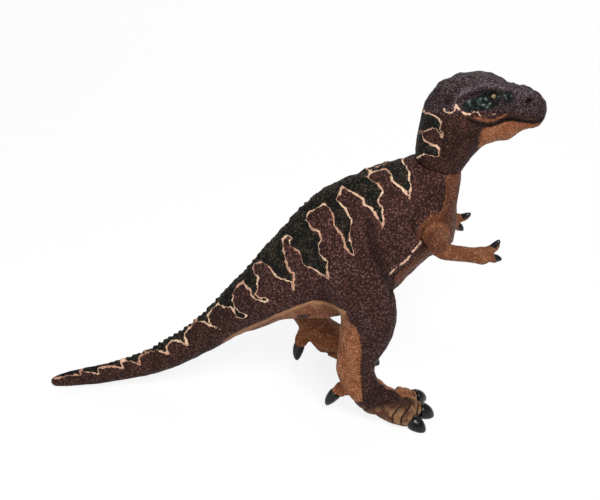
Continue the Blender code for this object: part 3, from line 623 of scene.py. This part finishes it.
# %% Outlines of the paint
SADDLE = [
    (72.3, 141.4), (74.1, 135.9), (75.8, 131.9), (75.0, 128.2), (76.3, 125.3), (75.5, 120.2), (75.5, 117.9),
    (71.8, 122.8), (68.8, 125.5), (65.7, 128.2), (65.9, 131.5), (63.2, 135.4), (58.4, 134.1), (54.2, 133.5),
    (52.9, 130.6), (55.5, 127.5), (58.7, 126.2), (60.6, 121.7), (58.6, 118.5), (58.0, 115.3), (59.9, 113.4),
    (60.5, 109.6), (61.1, 106.4), (60.8, 101.2), (57.9, 106.4), (56.1, 109.6), (53.6, 112.8), (49.9, 114.8),
    (49.9, 117.4), (46.8, 120.1), (42.5, 122.2), (38.2, 125.7), (37.4, 122.3), (34.8, 117.7), (37.3, 115.0),
    (39.8, 112.4), (41.6, 108.5), (43.5, 105.9), (42.9, 101.4), (41.5, 97.5), (42.6, 92.4), (44.6, 85.7),
    (42.0, 87.3), (39.5, 90.5), (38.8, 94.4), (37.8, 97.6), (35.9, 99.6), (33.2, 102.8), (33.4, 105.3),
    (32.8, 109.4), (30.9, 112.6), (27.8, 115.3), (22.6, 112.5), (18.6, 110.3), (17.4, 106.2), (21.5, 100.6),
    (25.3, 99.2), (26.0, 95.4), (24.7, 91.5), (25.0, 86.9), (27.3, 84.3), (29.4, 82.5), (29.4, 77.4), (30.2, 72.8),
    (25.5, 75.1), (22.2, 77.7), (18.3, 79.0), (15.0, 81.6), (15.0, 84.9), (13.0, 88.2), (8.4, 90.8), (7.8, 94.1),
    (9.7, 95.5), (6.3, 97.6), (3.9, 95.6), (3.7, 90.2), (5.3, 84.9), (6.3, 79.6), (8.4, 76.3), (10.4, 75.0),
    (10.4, 70.2), (9.8, 65.1), (8.4, 70.2), (3.7, 71.5), (0.3, 72.8), (-2.4, 76.1), (-5.1, 79.5), (-8.7, 81.4),
    (-13.7, 80.6), (-14.6, 77.9), (-13.5, 74.6), (-10.7, 72.6), (-12.1, 69.2), (-11.5, 65.1), (-12.9, 62.3),
    (-10.1, 59.6), (-6.7, 60.4), (-4.6, 57.6), (-10.1, 58.3), (-12.9, 58.9), (-15.7, 61.6), (-15.7, 64.3),
    (-18.5, 66.3), (-20.8, 69.3), (-25.1, 66.1), (-27.2, 62.6), (-27.4, 57.8), (-25.7, 53.6), (-22.9, 50.9),
    (-18.5, 48.7), (-20.9, 46.7), (-25.1, 47.3), (-26.5, 51.5), (-28.6, 54.0), (-32.3, 53.4), (-37.0, 55.2),
    (-41.4, 51.4), (-44.0, 47.4), (-42.0, 43.1), (-39.1, 41.1), (-36.0, 39.7), (-42.0, 41.4), (-46.6, 43.9),
    (-51.4, 43.8), (-56.5, 39.2), (-59.7, 35.4), (-56.9, 28.7), (-63.6, 30.9), (-67.9, 31.2), (-71.7, 26.7),
    (-69.6, 22.4), (-78.0, 24.5), (-84.3, 22.8), (-90.3, 19.5), (-89.2, 14.6), (-95.5, 16.9), (-102.6, 16.5),
    (-100.7, 12.3), (-108.3, 13.3), (-117.8, 11.8), (-116.8, 8.1), (-123.7, 9.2), (-130.3, 9.8), (-129.0, 7.2),
    (-136.6, 6.9), (-144.8, 4.5), (-170.0, 4.0), (-170.0, 190.0), (76.0, 190.0), (74.0, 150.0),
]
NAPE_PATCHES = [
    [(60.0, 166.0), (82.6, 165.7), (83.3, 164.1), (85.1, 162.9), (87.5, 161.8), (89.6, 160.0), (90.7, 157.4),
     (90.4, 154.8), (91.9, 153.0), (91.8, 151.2), (88.9, 154.7), (86.6, 155.7), (84.3, 154.9), (82.0, 154.1),
     (80.8, 155.6), (60.0, 155.6)],
    [(60.0, 154.4), (80.8, 154.4), (82.0, 153.8), (81.9, 152.2), (83.3, 149.3), (85.9, 147.4), (89.1, 146.2),
     (90.8, 144.3), (91.0, 141.4), (89.5, 140.4), (86.8, 141.3), (84.2, 142.3), (81.8, 141.8), (80.3, 140.9),
     (78.3, 140.0), (60.0, 140.0)],
]
FACE_MASK = [
    (101.6, 166.2), (103.1, 167.9), (105.6, 169.2), (109.1, 170.5), (111.7, 171.8), (114.5, 173.2), (117.3, 174.0),
    (120.4, 174.0), (121.9, 172.7), (122.4, 170.8), (121.4, 169.0), (121.3, 167.2), (117.7, 165.5), (114.9, 164.4),
    (112.1, 164.6), (109.4, 164.1), (105.9, 163.5), (102.7, 164.1),
]
SNOUT_SPOT = [(123.5, 173.5), (126.5, 174.5), (129.5, 173.0), (130.0, 170.0), (127.0, 168.2), (124.0, 169.5)]
MASK_EDGE = [
    (91.9, 165.1), (92.9, 163.4), (95.5, 162.8), (97.0, 163.7), (97.9, 166.5), (99.0, 165.5), (100.7, 163.6),
    (102.9, 161.8), (105.8, 162.0), (107.6, 163.0), (109.5, 162.8), (111.0, 161.3), (113.5, 160.5), (116.0, 161.4),
    (117.9, 161.7), (119.6, 162.3),
]
JAW = [
    (112.4, 155.1), (116.8, 155.5), (121.3, 156.5), (124.6, 158.2), (129.9, 159.4), (134.8, 158.9), (140.9, 158.5),
    (146.9, 159.1), (154.0, 159.4), (152.0, 145.0), (113.0, 145.0), (111.0, 150.0),
]
BELLY = [
    (73.0, 60.0), (69.5, 70.5), (70.0, 73.6), (71.4, 75.7), (74.9, 78.3), (78.1, 81.8), (80.5, 86.5), (83.6, 90.5),
    (84.6, 93.8), (86.6, 98.8), (90.5, 102.5), (93.5, 109.0), (95.5, 118.0), (96.5, 130.0), (98.0, 142.0),
    (130.0, 142.0), (130.0, 50.0), (74.0, 50.0),
]
TAIL_BAND = [
    (-36.0, 29.0), (-32.4, 33.0), (-26.5, 37.1), (-19.4, 40.6), (-7.7, 46.1), (-0.5, 50.1), (6.2, 52.8), (13.0, 56.0),
    (21.1, 58.8), (27.0, 58.7), (32.9, 57.1), (39.9, 53.6), (46.0, 40.0), (30.0, 25.0), (-30.0, 15.0),
]
SHIN = [
    (28.9, 50.4), (37.9, 48.4), (41.1, 47.8), (45.7, 44.2), (48.7, 37.6), (50.1, 27.3), (49.7, 16.7), (51.1, 8.0),
    (51.8, -4.5), (20.0, -12.0), (10.0, 20.0), (20.0, 50.0),
]


# %% [markdown]
# ### Coats of the body
# Each plan says how much of each coat a point gets: warm is the orange of legs and belly, rust
# its darker kind, pale the cream under the tail and brown the umber in place of plum. A darker
# airbrush lies on the legs, feet and tail and is painted shade on the legs and arm undersides;
# high is a painted highlight on ridges, and the folds and hollows get painted shade.

# %% Where each coat goes on the body
NO_PAINT = 30.0
COATS = {
    "saddle": NO_PAINT, "mask": NO_PAINT, "line": NO_PAINT, "warm": 0.0, "rust": 0.0, "pale": 0.0,
    "brown": 0.0, "deep": 0.0, "high": 0.0, "toes": 0.0, "crease": 0.0, "dim": 0.0,
}
LEFT_STRIDE = -28.5
ARM_SOCKET = (91.5, 98.0)
ARM_ROOT = (90.9, 128.5)


def plan_body(points, normals, places):
    low = -normals[:, 2]
    above = (points[:, 2] > 30) | (points[:, 0] < -20)
    saddle = np.where(above, patch_distance(places, SADDLE), NO_PAINT)
    leg = points[:, 2] < 118
    left = points[:, 1] > MIDLINE
    out = np.abs(points[:, 1] - MIDLINE)
    stride = np.where(left, LEFT_STRIDE, 0.0) * soft_step(-points[:, 2], -100, -30)
    shin = patch_distance(places - np.stack([stride, np.zeros(len(points))], 1), SHIN)
    inner = soft_step(-normals[:, 1] * np.sign(points[:, 1] - MIDLINE), -0.35, 0.30)
    on_leg = (out > 7.0) & (points[:, 2] < 98) & (points[:, 0] > -8) & leg
    calf = soft_step(-shin, -2.0, 2.0) * soft_step(out, 6, 12)
    left_calf = calf * soft_step(-normals[:, 0], 0.05, 0.5) * soft_step(-points[:, 2], -66, -50)
    calf = np.where(left, left_calf, calf)
    warm = np.where(on_leg, np.maximum(calf, inner), 0.0)
    band = soft_step(-patch_distance(places, TAIL_BAND), -1.0, 1.0)
    band = band * np.where(points[:, 0] < 12, 1.0, soft_step(points[:, 2], 66, 76))
    tail_end = soft_step(-points[:, 0], 20, 45)
    band = band * soft_step(low, -0.45, -0.10)
    rim = near_line(places, shifted(TAIL_BAND[1:12], 0.0, -0.8), 1.7)
    pale = band * (1 - tail_end) * np.maximum(rim, 0.42)
    pale = np.maximum(pale, 0.5 * soft_step(low, 0.75, 1.0) * (points[:, 0] < 10))
    on_torso = soft_step(points[:, 2], 86, 94) * soft_step(points[:, 0], 30, 50)
    belly = soft_step(-patch_distance(places, BELLY), -2.0, 2.0) * on_torso
    under = soft_step(low, 0.25, 0.7) * soft_step(points[:, 2], 50, 56) * (points[:, 0] > 10)
    under = under * np.where(points[:, 2] < 95, 1 - soft_step(out, 13, 18), 1.0)
    socket = 1 - soft_step(np.hypot(*(places - ARM_SOCKET).T), 8.0, 15.0)
    socket = socket * soft_step(points[:, 2], 96, 104)
    warm = np.maximum(warm, np.maximum(np.maximum(belly, under), 0.75 * socket))
    rust = np.maximum(np.maximum(belly, under), 0.75 * left * soft_step(points[:, 2], 15, 50) * leg)
    warm = np.maximum(warm, band)
    rust = np.maximum(rust, np.maximum(0.8 * socket, 0.6 * band))
    line = line_distance(places, shifted(BELLY_FOLD, -0.9, 1.3))
    line = np.where(points[:, 2] > 84, line, NO_PAINT)
    # Painted highlight in patches round the arm's socket.
    high = 0.35 * socket * soft_step(lumps(points, 4.0), 0.0, 0.4)
    brown = 0.85 * soft_step(-points[:, 0], 0, 55) + 0.5 * soft_step(points[:, 2], 120, 150)
    brown = np.maximum(brown, 0.8 * soft_step(-points[:, 2], -50, -20) * (points[:, 0] > 0))
    # Darker coat over the legs below the belly, more on the feet, over the tail and in broad random patches: a darker
    # airbrush, and on the legs and feet painted shade as well.
    dim = 0.62 * soft_step(-points[:, 2], -104, -84) * soft_step(points[:, 0], -10, 15)
    dim = np.maximum(dim, 0.90 * soft_step(-points[:, 2], -36, -20) * (points[:, 0] > 10))
    dim = np.maximum(dim, 0.62 * soft_step(-points[:, 0], -10, 25))
    dim = np.maximum(dim, 0.18 + 0.25 * soft_step(lumps(points + 5.0, 22.0), -0.1, 0.3))
    toes = soft_step(-points[:, 2], -17, -9) * (points[:, 0] > 22) * soft_step(reach, 3, 12)
    # Painted shade in the folds: along the thigh's front edge, under the belly fold and along the arm fold.
    deep = np.zeros(len(points))
    for fold, width in ((THIGH_EDGE, 3.0), (shifted(BELLY_FOLD, 1.0, -1.2), 1.2), (ARM_FOLD, 2.2)):
        deep = np.maximum(deep, 0.66 * near_line(places, fold, width) * (points[:, 2] > 52))
    return {
        "saddle": saddle, "line": line, "warm": warm, "rust": rust, "pale": pale, "brown": brown,
        "deep": deep, "high": high, "toes": toes, "crease": crease * on_toe, "dim": dim,
    }


# %% [markdown]
# ### Coats of the head and arms
# The face has a dark mask round the eye and a spot on the snout, a tan lip, an orange jaw, a
# painted mauve highlight along the brow and snout ridges, and painted shade in its hollows and
# folds. The arms are orange-brown and darken towards their roots, and carry painted shade on
# their undersides and at the upper rear of the root.

# %% Where each coat goes on the head and arms
def plan_head(points, normals, places):
    low = -normals[:, 2]
    saddle = np.full(len(points), NO_PAINT)
    for patch in NAPE_PATCHES:
        saddle = np.minimum(saddle, patch_distance(places, patch))
    mask = np.minimum(patch_distance(places, FACE_MASK), patch_distance(places, SNOUT_SPOT) + 0.3)
    line = line_distance(places, MASK_EDGE)
    jaw = soft_step(-patch_distance(places, JAW), -0.5, 0.7) * soft_step(places[:, 0], 106, 120)
    under = soft_step(low, 0.55, 0.9) * soft_step(points[:, 0], 104, 118)
    warm = np.maximum(jaw, under)
    brown = 0.95 * soft_step(-places[:, 1], -165.5, -160.5) + 0.05
    # A darker coat in broad random patches, and more at the back of the crown.
    dim = 0.40 + 0.35 * soft_step(lumps(points + 5.0, 7.0), -0.1, 0.25)
    dim = np.maximum(dim, 0.85 * (1 - soft_step(places[:, 0], 88, 98)) * soft_step(places[:, 1], 163, 170))
    # Painted highlight along the brow ridge, and further down along the snout ridge.
    high = near_line(places, shifted(BROW, -0.3, 0.8), 1.5)
    lip = near_line(places, shifted(MOUTH[1:7], 0.0, 2.6), 1.1)
    warm = np.maximum(warm, 0.62 * lip)
    high = np.maximum(high, 0.6 * near_line(places, [(126.0, 176.0), (141.0, 172.2)], 1.6))
    # Painted shade in the nostril, the ear hole, the eye socket, the mouth line, under the brow and in the throat
    # folds.
    deep = np.zeros(len(points))
    for place, width in ((NOSTRIL, 1.5), (EAR, 2.0), (EYE, 3.4)):
        deep = np.maximum(deep, near_line(places, spot(place), width))
    deep = np.maximum(deep, 0.95 * near_line(places, MOUTH, 0.9))
    deep = np.maximum(deep, 0.75 * near_line(places, shifted(BROW[2:], 0.4, -1.7), 0.9))
    for fold in THROAT_FOLDS:
        deep = np.maximum(deep, 0.5 * near_line(places, fold, 0.8))
    return {
        "saddle": saddle, "mask": mask, "line": line, "warm": warm, "brown": brown,
        "deep": deep, "high": high, "dim": dim,
    }


def plan_arm(points, normals, places):
    low = -normals[:, 2]
    root = 1 - soft_step(np.hypot(points[:, 0] - ARM_ROOT[0], points[:, 2] - ARM_ROOT[1]), 5.0, 10.0)
    warm = 1.0 - 0.25 * root
    rust = np.maximum(0.60, 0.9 * root)
    upper_rear = 0.7 * (points[:, 2] - ARM_ROOT[1]) - 0.7 * (points[:, 0] - ARM_ROOT[0])
    warm = warm - 0.15 * root * soft_step(upper_rear, -1.0, 7.0)
    # Painted shade on the undersides of the arm and at the upper rear of its root, where it meets the body.
    dim = np.maximum(0.5 * soft_step(low, -0.1, 0.7), 0.35 * root * soft_step(upper_rear, -3.0, 8.0))
    brown = np.full(len(points), 0.8)
    # Painted highlight in random patches on the arm.
    high = 0.35 * soft_step(lumps(points, 5.0), 0.0, 0.4)
    return {"warm": warm, "rust": rust, "brown": brown, "high": high, "dim": dim}


# %% [markdown]
# ### Storing the plan
# The numbers are stored on the points of each skin, where its finish can read them. Lines,
# painted highlights and painted shade in folds are left off the sides that the stencil can't reach.

# %% Coats stored on the skins
def keep(skin, label, values):
    skin.data.attributes.new(label, "FLOAT", "POINT").data.foreach_set("value", values.astype(np.float32))


def plan_paint(skin, plan):
    """Works out the coats of a skin by its plan and stores one number per point for each."""
    points = read_points(skin)
    edges = read_edges(skin)
    normals = read_normals(skin)
    for _ in range(12):
        normals = average_of_neighbours(normals, edges)
    normals /= np.maximum(np.linalg.norm(normals, axis=1), 1e-6)[:, None]
    places = on_stencil(points)
    facing = faces_stencil(points, normals)
    coats = {label: np.full(len(points), nothing) for label, nothing in COATS.items()}
    coats.update(plan(points, normals, places))
    coats["line"] = np.where(facing > 0.05, coats["line"], NO_PAINT)
    coats["deep"] = coats["deep"] * facing
    coats["high"] = coats["high"] * facing
    for label, values in coats.items():
        keep(skin, label, values)
    print(skin.name, "carries", len(coats), "coats")


plan_paint(body_skin, plan_body)
plan_paint(head_skin, plan_head)
for skin in arm_skins.values():
    plan_paint(skin, plan_arm)

# %% [markdown]
# ## Finishes
# A finish is a small network of nodes. One helper turns the hex colours of the paints into the
# linear values that a renderer needs, and another adds a node with its settings and links.

# %% Helpers for finishes
def paint(hex_colour):
    """A paint's sRGB hex colour as linear red, green, blue and alpha."""
    channels = [int(hex_colour[start:start + 2], 16) / 255 for start in (1, 3, 5)]
    linear = [value / 12.92 if value <= 0.04045 else ((value + 0.055) / 1.055) ** 2.4 for value in channels]
    return (*linear, 1.0)


# For each node: its kind, its settings, the inputs that are filled in turn and the output in use.
NODES = {
    "place": ("ShaderNodeTexCoord", {}, (), "Object"),
    "attribute": ("ShaderNodeAttribute", {}, (), "Fac"),
    "noise": ("ShaderNodeTexNoise", {}, ("Vector", "Scale", "Detail"), "Fac"),
    "colour noise": ("ShaderNodeTexNoise", {}, ("Vector", "Scale", "Detail"), "Color"),
    "cells": ("ShaderNodeTexVoronoi", {"feature": "F1"}, ("Vector", "Scale", "Randomness"), None),
    "channels": ("ShaderNodeSeparateColor", {}, ("Color",), None),
    "coat": ("ShaderNodeMix", {"data_type": "RGBA"}, (0, 6, 7), 2),
    "ramp": (
        "ShaderNodeMapRange", {"interpolation_type": "SMOOTHSTEP"},
        ("Value", "From Min", "From Max", "To Min", "To Max"), "Result",
    ),
    "plus": ("ShaderNodeMath", {"operation": "ADD"}, (0, 1), 0),
    "minus": ("ShaderNodeMath", {"operation": "SUBTRACT"}, (0, 1), 0),
    "times": ("ShaderNodeMath", {"operation": "MULTIPLY"}, (0, 1), 0),
    "times plus": ("ShaderNodeMath", {"operation": "MULTIPLY_ADD"}, (0, 1, 2), 0),
    "unsigned": ("ShaderNodeMath", {"operation": "ABSOLUTE"}, (0,), 0),
    "moved": ("ShaderNodeVectorMath", {"operation": "ADD"}, (0, 1), 0),
    "scaled": ("ShaderNodeVectorMath", {"operation": "SCALE"}, (0, "Scale"), 0),
    "length": ("ShaderNodeVectorMath", {"operation": "LENGTH"}, (0,), "Value"),
    "bump": ("ShaderNodeBump", {}, ("Strength", "Distance", "Height"), "Normal"),
    "shader": ("ShaderNodeBsdfPrincipled", {}, (), "BSDF"),
    "matt": ("ShaderNodeBsdfDiffuse", {}, ("Color",), 0),
    "glow": ("ShaderNodeEmission", {}, ("Color", "Strength"), 0),
    "sky": ("ShaderNodeBackground", {}, ("Color", "Strength"), 0),
    "either": ("ShaderNodeMixShader", {}, (0, 1, 2), 0),
    "camera ray": ("ShaderNodeLightPath", {}, (), "Is Camera Ray"),
    "surface": ("ShaderNodeOutputMaterial", {}, ("Surface",), None),
    "sky surface": ("ShaderNodeOutputWorld", {}, ("Surface",), None),
}


def add_node(tree, what, *values, sockets=None, **settings):
    """Adds a node, sets its options, fills or links its inputs and gives the output in use."""
    kind, fixed, inputs, output = NODES[what]
    node = tree.nodes.new(kind)
    for name, value in {**fixed, **settings}.items():
        setattr(node, name, value)
    for socket, value in [*zip(inputs, values), *(sockets or {}).items()]:
        if isinstance(value, bpy.types.NodeSocket):
            tree.links.new(value, node.inputs[socket])
        else:
            node.inputs[socket].default_value = value
    return node if output is None else node.outputs[output]


def new_finish(name):
    """An empty material, and the way to add nodes to it."""
    finish = bpy.data.materials.new(name)
    finish.use_nodes = True
    finish.node_tree.nodes.clear()
    return finish, partial(add_node, finish.node_tree)


print(len(NODES), "sorts of node")

# %% [markdown]
# ### Painted vinyl skin
# Soft vinyl takes matt paint that stays satin on the high points. The mould has round pebbles
# of a little over a millimetre on the body and finer ones on the face. They are drawn at 1.5,
# 1.3 and 1.1 millimetres, a little coarser than real, so that they show from this far. After the
# dark coat, a nearly dry brush leaves mauve on their tops, more on some than on others, and that
# lighter top is also a painted highlight; the dark between the pebbles is painted shade. That
# speckle is what the eye takes for skin.

# %% Vinyl skin finish
def vinyl_skin(name, pebble, relief, coats):
    """Painted vinyl with pebbles of that many millimetres, under a dark, a light and a dry-brushed coat, with painted
    highlight on the pebble tops and painted shade between them.
    """
    finish, add = new_finish(name)
    place = add("place")
    read = {label: add("attribute", attribute_name=label) for label in COATS}

    broad = add("noise", place, 1 / (15 * MM), 3.0)
    middling = add("noise", place, 1 / (6 * MM), 2.0)
    ragged = add("noise", place, 1 / (2.2 * MM), 2.0)
    grain = add("noise", place, 1 / (0.5 * MM), 2.0)
    wander = add("scaled", add("colour noise", place, 1 / (1.4 * MM), 2.0), 0.9 * pebble * MM)
    cells = add("cells", add("moved", place, wander), 1 / (pebble * MM), 0.85)
    dome = add("ramp", cells.outputs["Distance"], 0.66, 0.08)
    chance = add("channels", cells.outputs["Color"])
    other = chance.outputs["Green"]
    luck = add("ramp", chance.outputs["Red"], 0.0, 1.0, 0.35, 1.0)
    luck = add("times", luck, add("ramp", middling, 0.35, 0.62, 0.45, 1.1))
    # A dry brush leaves the light colour on the pebble tops, more on some than on others; the lighter tops also stand
    # for light catching them, a painted highlight.
    drybrush_and_highlight = add("times", add("ramp", dome, 0.20, 0.95), luck)
    # The painted highlight is added to the dry brush.
    drybrush_and_highlight = add("times plus", read["high"], 0.9, drybrush_and_highlight)
    # Painted shade in the crevices between the pebbles, used on the plum, the orange and the black.
    crevice_shade = add("ramp", dome, 0.50, 0.0)

    drift = add("ramp", broad, 0.36, 0.64)
    plum = add("coat", drift, paint(coats[0]), paint(coats[1]))
    umber = add("coat", drift, paint("#3B1F18"), paint("#512F25"))
    skin = add("coat", read["brown"], plum, umber)
    # The colour of the dry brush and painted highlight: the set's mauve, or a warmer brown on umber.
    drybrush_and_highlight_colour = add("coat", read["brown"], paint(coats[2]), paint("#80594A"))
    # Dry brush and painted highlight on the pebble tops.
    skin = add("coat", add("times", drybrush_and_highlight, 0.60), skin, drybrush_and_highlight_colour)
    # Painted shade in the crevices of the plum.
    skin = add("coat", add("times", crevice_shade, 0.80), skin, paint("#1C0C09"))
    # The darker coat: an airbrush, and painted shade on the lower legs and the arm undersides.
    skin = add("coat", add("times", read["dim"], 0.62), skin, paint("#160D0C"))

    tan = add("coat", add("ramp", middling, 0.35, 0.65), paint("#87502F"), paint("#9A6342"))
    russet = add("coat", drift, paint("#4C281D"), paint("#663D2D"))
    tan = add("coat", read["rust"], tan, russet)
    olive = add("coat", read["rust"], paint("#BE8C66"), paint("#A07C58"))
    # Dry brush and painted highlight on the orange.
    tan = add("coat", add("times", drybrush_and_highlight, 0.45), tan, olive)
    # Painted shade in the crevices of the orange.
    tan = add("coat", add("times", crevice_shade, 0.50), tan, paint("#44200F"))
    mottle = add("plus", ragged, middling)
    mottle = add("times plus", mottle, 0.5, -0.5)
    skin = add("coat", add("ramp", add("plus", read["warm"], mottle), 0.22, 0.72), skin, tan)
    # The cream underside takes the dry brush and painted highlight too.
    sole = add("coat", add("times", drybrush_and_highlight, 0.6), paint("#8E6548"), paint("#BC9673"))
    skin = add("coat", add("ramp", add("plus", read["pale"], mottle), 0.25, 0.75), skin, sole)
    scute = add("coat", add("ramp", middling, 0.40, 0.60), paint("#5C3B29"), paint("#94704F"))
    # Painted shade in the creases across the toes.
    scute = add("coat", add("ramp", read["crease"], 0.30, 0.85), scute, paint("#1C0E0A"))
    skin = add("coat", add("times", read["toes"], 0.80), skin, scute)

    edge = add("plus", read["saddle"], add("times plus", ragged, 2.0, -1.0))
    black = add("coat", add("ramp", other, 0.66, 0.90), paint("#0D0A08"), paint("#1B2416"))
    black = add("coat", add("times", add("ramp", middling, 0.44, 0.64), 0.55), black, paint("#3A2C22"))
    # Dry brush and painted highlight on the black.
    black = add("coat", add("times", drybrush_and_highlight, 0.45), black, paint("#5E5345"))
    # Painted shade in the crevices of the black.
    black = add("coat", add("times", crevice_shade, 0.7), black, paint("#050403"))
    skin = add("coat", add("ramp", edge, 0.35, -0.35), skin, black)
    thin = add("unsigned", edge)
    width = add("ramp", middling, 0.34, 0.66, -0.02, 0.58)
    stroke = add("ramp", add("minus", thin, width), 0.28, -0.05)
    cream = add("coat", add("ramp", broad, 0.40, 0.60), paint("#DDBB9C"), paint("#B98C74"))
    skin = add("coat", add("times", stroke, 0.9), skin, cream)

    shade = add("plus", read["mask"], add("times plus", ragged, 1.8, -0.9))
    green = add("coat", add("ramp", ragged, 0.42, 0.66), paint("#060708"), paint("#27352F"))
    green = add("coat", add("times", add("ramp", ragged, 0.58, 0.70), 0.6), green, paint("#76807A"))
    skin = add("coat", add("ramp", shade, 1.2, -0.2), skin, green)
    flick = add("plus", read["line"], add("times plus", ragged, 1.4, -0.7))
    flick = add("minus", flick, add("ramp", middling, 0.36, 0.62, -0.25, 0.35))
    skin = add("coat", add("ramp", flick, 0.45, 0.05), skin, paint("#CFAA90"))
    # Painted shade in the folds and hollows.
    skin = add("coat", add("times", read["deep"], 0.88), skin, paint("#120A09"))

    shine = add("ramp", dome, 0.0, 1.0, 0.66, 0.36)
    height = add("times plus", grain, 0.12, dome)
    bump = add("bump", 1.0, relief * MM, height)
    sockets = {"Base Color": skin, "Roughness": shine, "IOR": 1.45, "Specular IOR Level": 0.13, "Normal": bump}
    add("surface", add("shader", sockets=sockets))
    return finish


# Each set: two plum tones for the base, and the dry-brushed mauve that is also the painted highlight on the pebble
# tops.
BODY_COATS = ("#44241F", "#54322E", "#8A6863")
FACE_COATS = ("#3A2C30", "#4B3A3F", "#93818A")
body_skin.data.materials.append(vinyl_skin("painted_moulded_vinyl_body", 1.5, 0.50, BODY_COATS))
head_skin.data.materials.append(vinyl_skin("painted_moulded_vinyl_head", 1.1, 0.34, FACE_COATS))
arm_finish = vinyl_skin("painted_moulded_vinyl_arm", 1.3, 0.40, BODY_COATS)
for skin in arm_skins.values():
    skin.data.materials.append(arm_finish)

# %% [markdown]
# ### Varnish and nylon
# Claws and eyes have a drop of clear varnish over black and yellow-brown paint, which makes
# them the only shiny things. The hidden pegs are plain nylon, moulded smooth and milky.

# %% Claw, eye and peg finishes
claw_finish, add = new_finish("varnished_black_paint")
place = add("place")
smear = add("noise", place, 1 / (3 * MM), 3.0)
sockets = {
    "Base Color": add("coat", add("ramp", smear, 0.45, 0.75), paint("#07080A"), paint("#1C1B1A")),
    "Roughness": add("ramp", smear, 0.3, 0.7, 0.20, 0.36),
    "Specular IOR Level": 0.22, "Coat Weight": 0.12, "Coat Roughness": 0.08,
}
add("surface", add("shader", sockets=sockets))
for claw in claws.values():
    claw.data.materials.append(claw_finish)

eye_finish, add = new_finish("varnished_eye_paint")
gaze = add("attribute", attribute_name="off_gaze")
slit = add("attribute", attribute_name="off_slit")
iris = add("coat", add("ramp", gaze, 16, 44), paint("#9C8452"), paint("#4A371C"))
iris = add("coat", add("ramp", add("times plus", gaze, 0.45, slit), 19, 15), iris, paint("#0B0908"))
iris = add("coat", add("ramp", gaze, 50, 60), iris, paint("#16110F"))
sockets = {"Base Color": iris, "Roughness": 0.12, "IOR": 1.5, "Coat Weight": 1.0, "Coat Roughness": 0.03}
add("surface", add("shader", sockets=sockets))
for eye in eyes.values():
    eye.data.materials.append(eye_finish)

peg_finish, add = new_finish("moulded_nylon")
cloud = add("noise", add("place"), 1 / (4 * MM), 3.0)
milky = add("coat", cloud, paint("#D8D4C6"), paint("#E6E3D8"))
bump = add("bump", 0.3, 0.05 * MM, cloud)
add("surface", add("shader", sockets={"Base Color": milky, "Roughness": 0.38, "IOR": 1.53, "Normal": bump}))
for node_name in ("neck_peg", "right_shoulder_peg", "left_shoulder_peg"):
    frame["nodes"][node_name].data.materials.clear()
    frame["nodes"][node_name].data.materials.append(peg_finish)
print("finishes", sorted(finish.name for finish in (claw_finish, eye_finish, peg_finish)))

# %% [markdown]
# ## What moves with what
# The head and the arms turn on their pegs, with their eyes and claws. All the rest stands on
# the body.

# %% Riding and standing in
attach(body_skin, "torso")
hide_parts(*BODY_NODES)
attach(head_skin, "head")
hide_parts("head")
for side, skin in arm_skins.items():
    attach(skin, side + "_arm")
    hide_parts(side + "_arm")
for name, claw in claws.items():
    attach(claw, name.split("_")[0] + "_arm" if "hand" in name else "torso")
for eye in eyes.values():
    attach(eye, "head")

# %% [markdown]
# ## Floor and light
# The toy stands on a plain pale sheet in soft studio light. The sheet is a little brighter to
# the camera than to the toy, so it reads as white and still keeps the shadow.

# %% Floor, lamps and world
WHITE = (1, 1, 1, 1)
bpy.ops.object.select_all(action="DESELECT")
bpy.ops.mesh.primitive_plane_add(size=30.0, location=(0, 0, -0.0004))
floor = bpy.context.object
floor.name = "floor"
floor_finish, add = new_finish("pale_paper_sheet")
glare = add("ramp", add("length", add("place")), 0.25, 1.6, 0.84, 1.0)
seen = add("times", add("camera ray"), glare)
add("surface", add("either", seen, add("matt", paint("#EDEDED")), add("glow", WHITE, 1.0)))
floor.data.materials.append(floor_finish)


def add_lamp(location, target, size, power):
    direction = Vector(target) - Vector(location)
    bpy.ops.object.light_add(type="AREA", location=location, rotation=direction.to_track_quat("-Z", "Y").to_euler())
    lamp = bpy.context.object
    lamp.data.size = size
    lamp.data.energy = power


add_lamp((0.30, -0.70, 1.05), (0.02, 0, 0.09), 0.45, 15.0)
add_lamp((-0.85, -0.55, 0.55), (0.0, 0, 0.08), 0.8, 3.6)
add_lamp((0.2, 0.9, 0.8), (0.0, 0, 0.1), 0.8, 5.0)

world = bpy.data.worlds.new("studio")
bpy.context.scene.world = world
world.use_nodes = True
world.node_tree.nodes.clear()
add = partial(add_node, world.node_tree)
add("sky surface", add("either", add("camera ray"), add("sky", WHITE, 0.32), add("sky", WHITE, 1.0)))
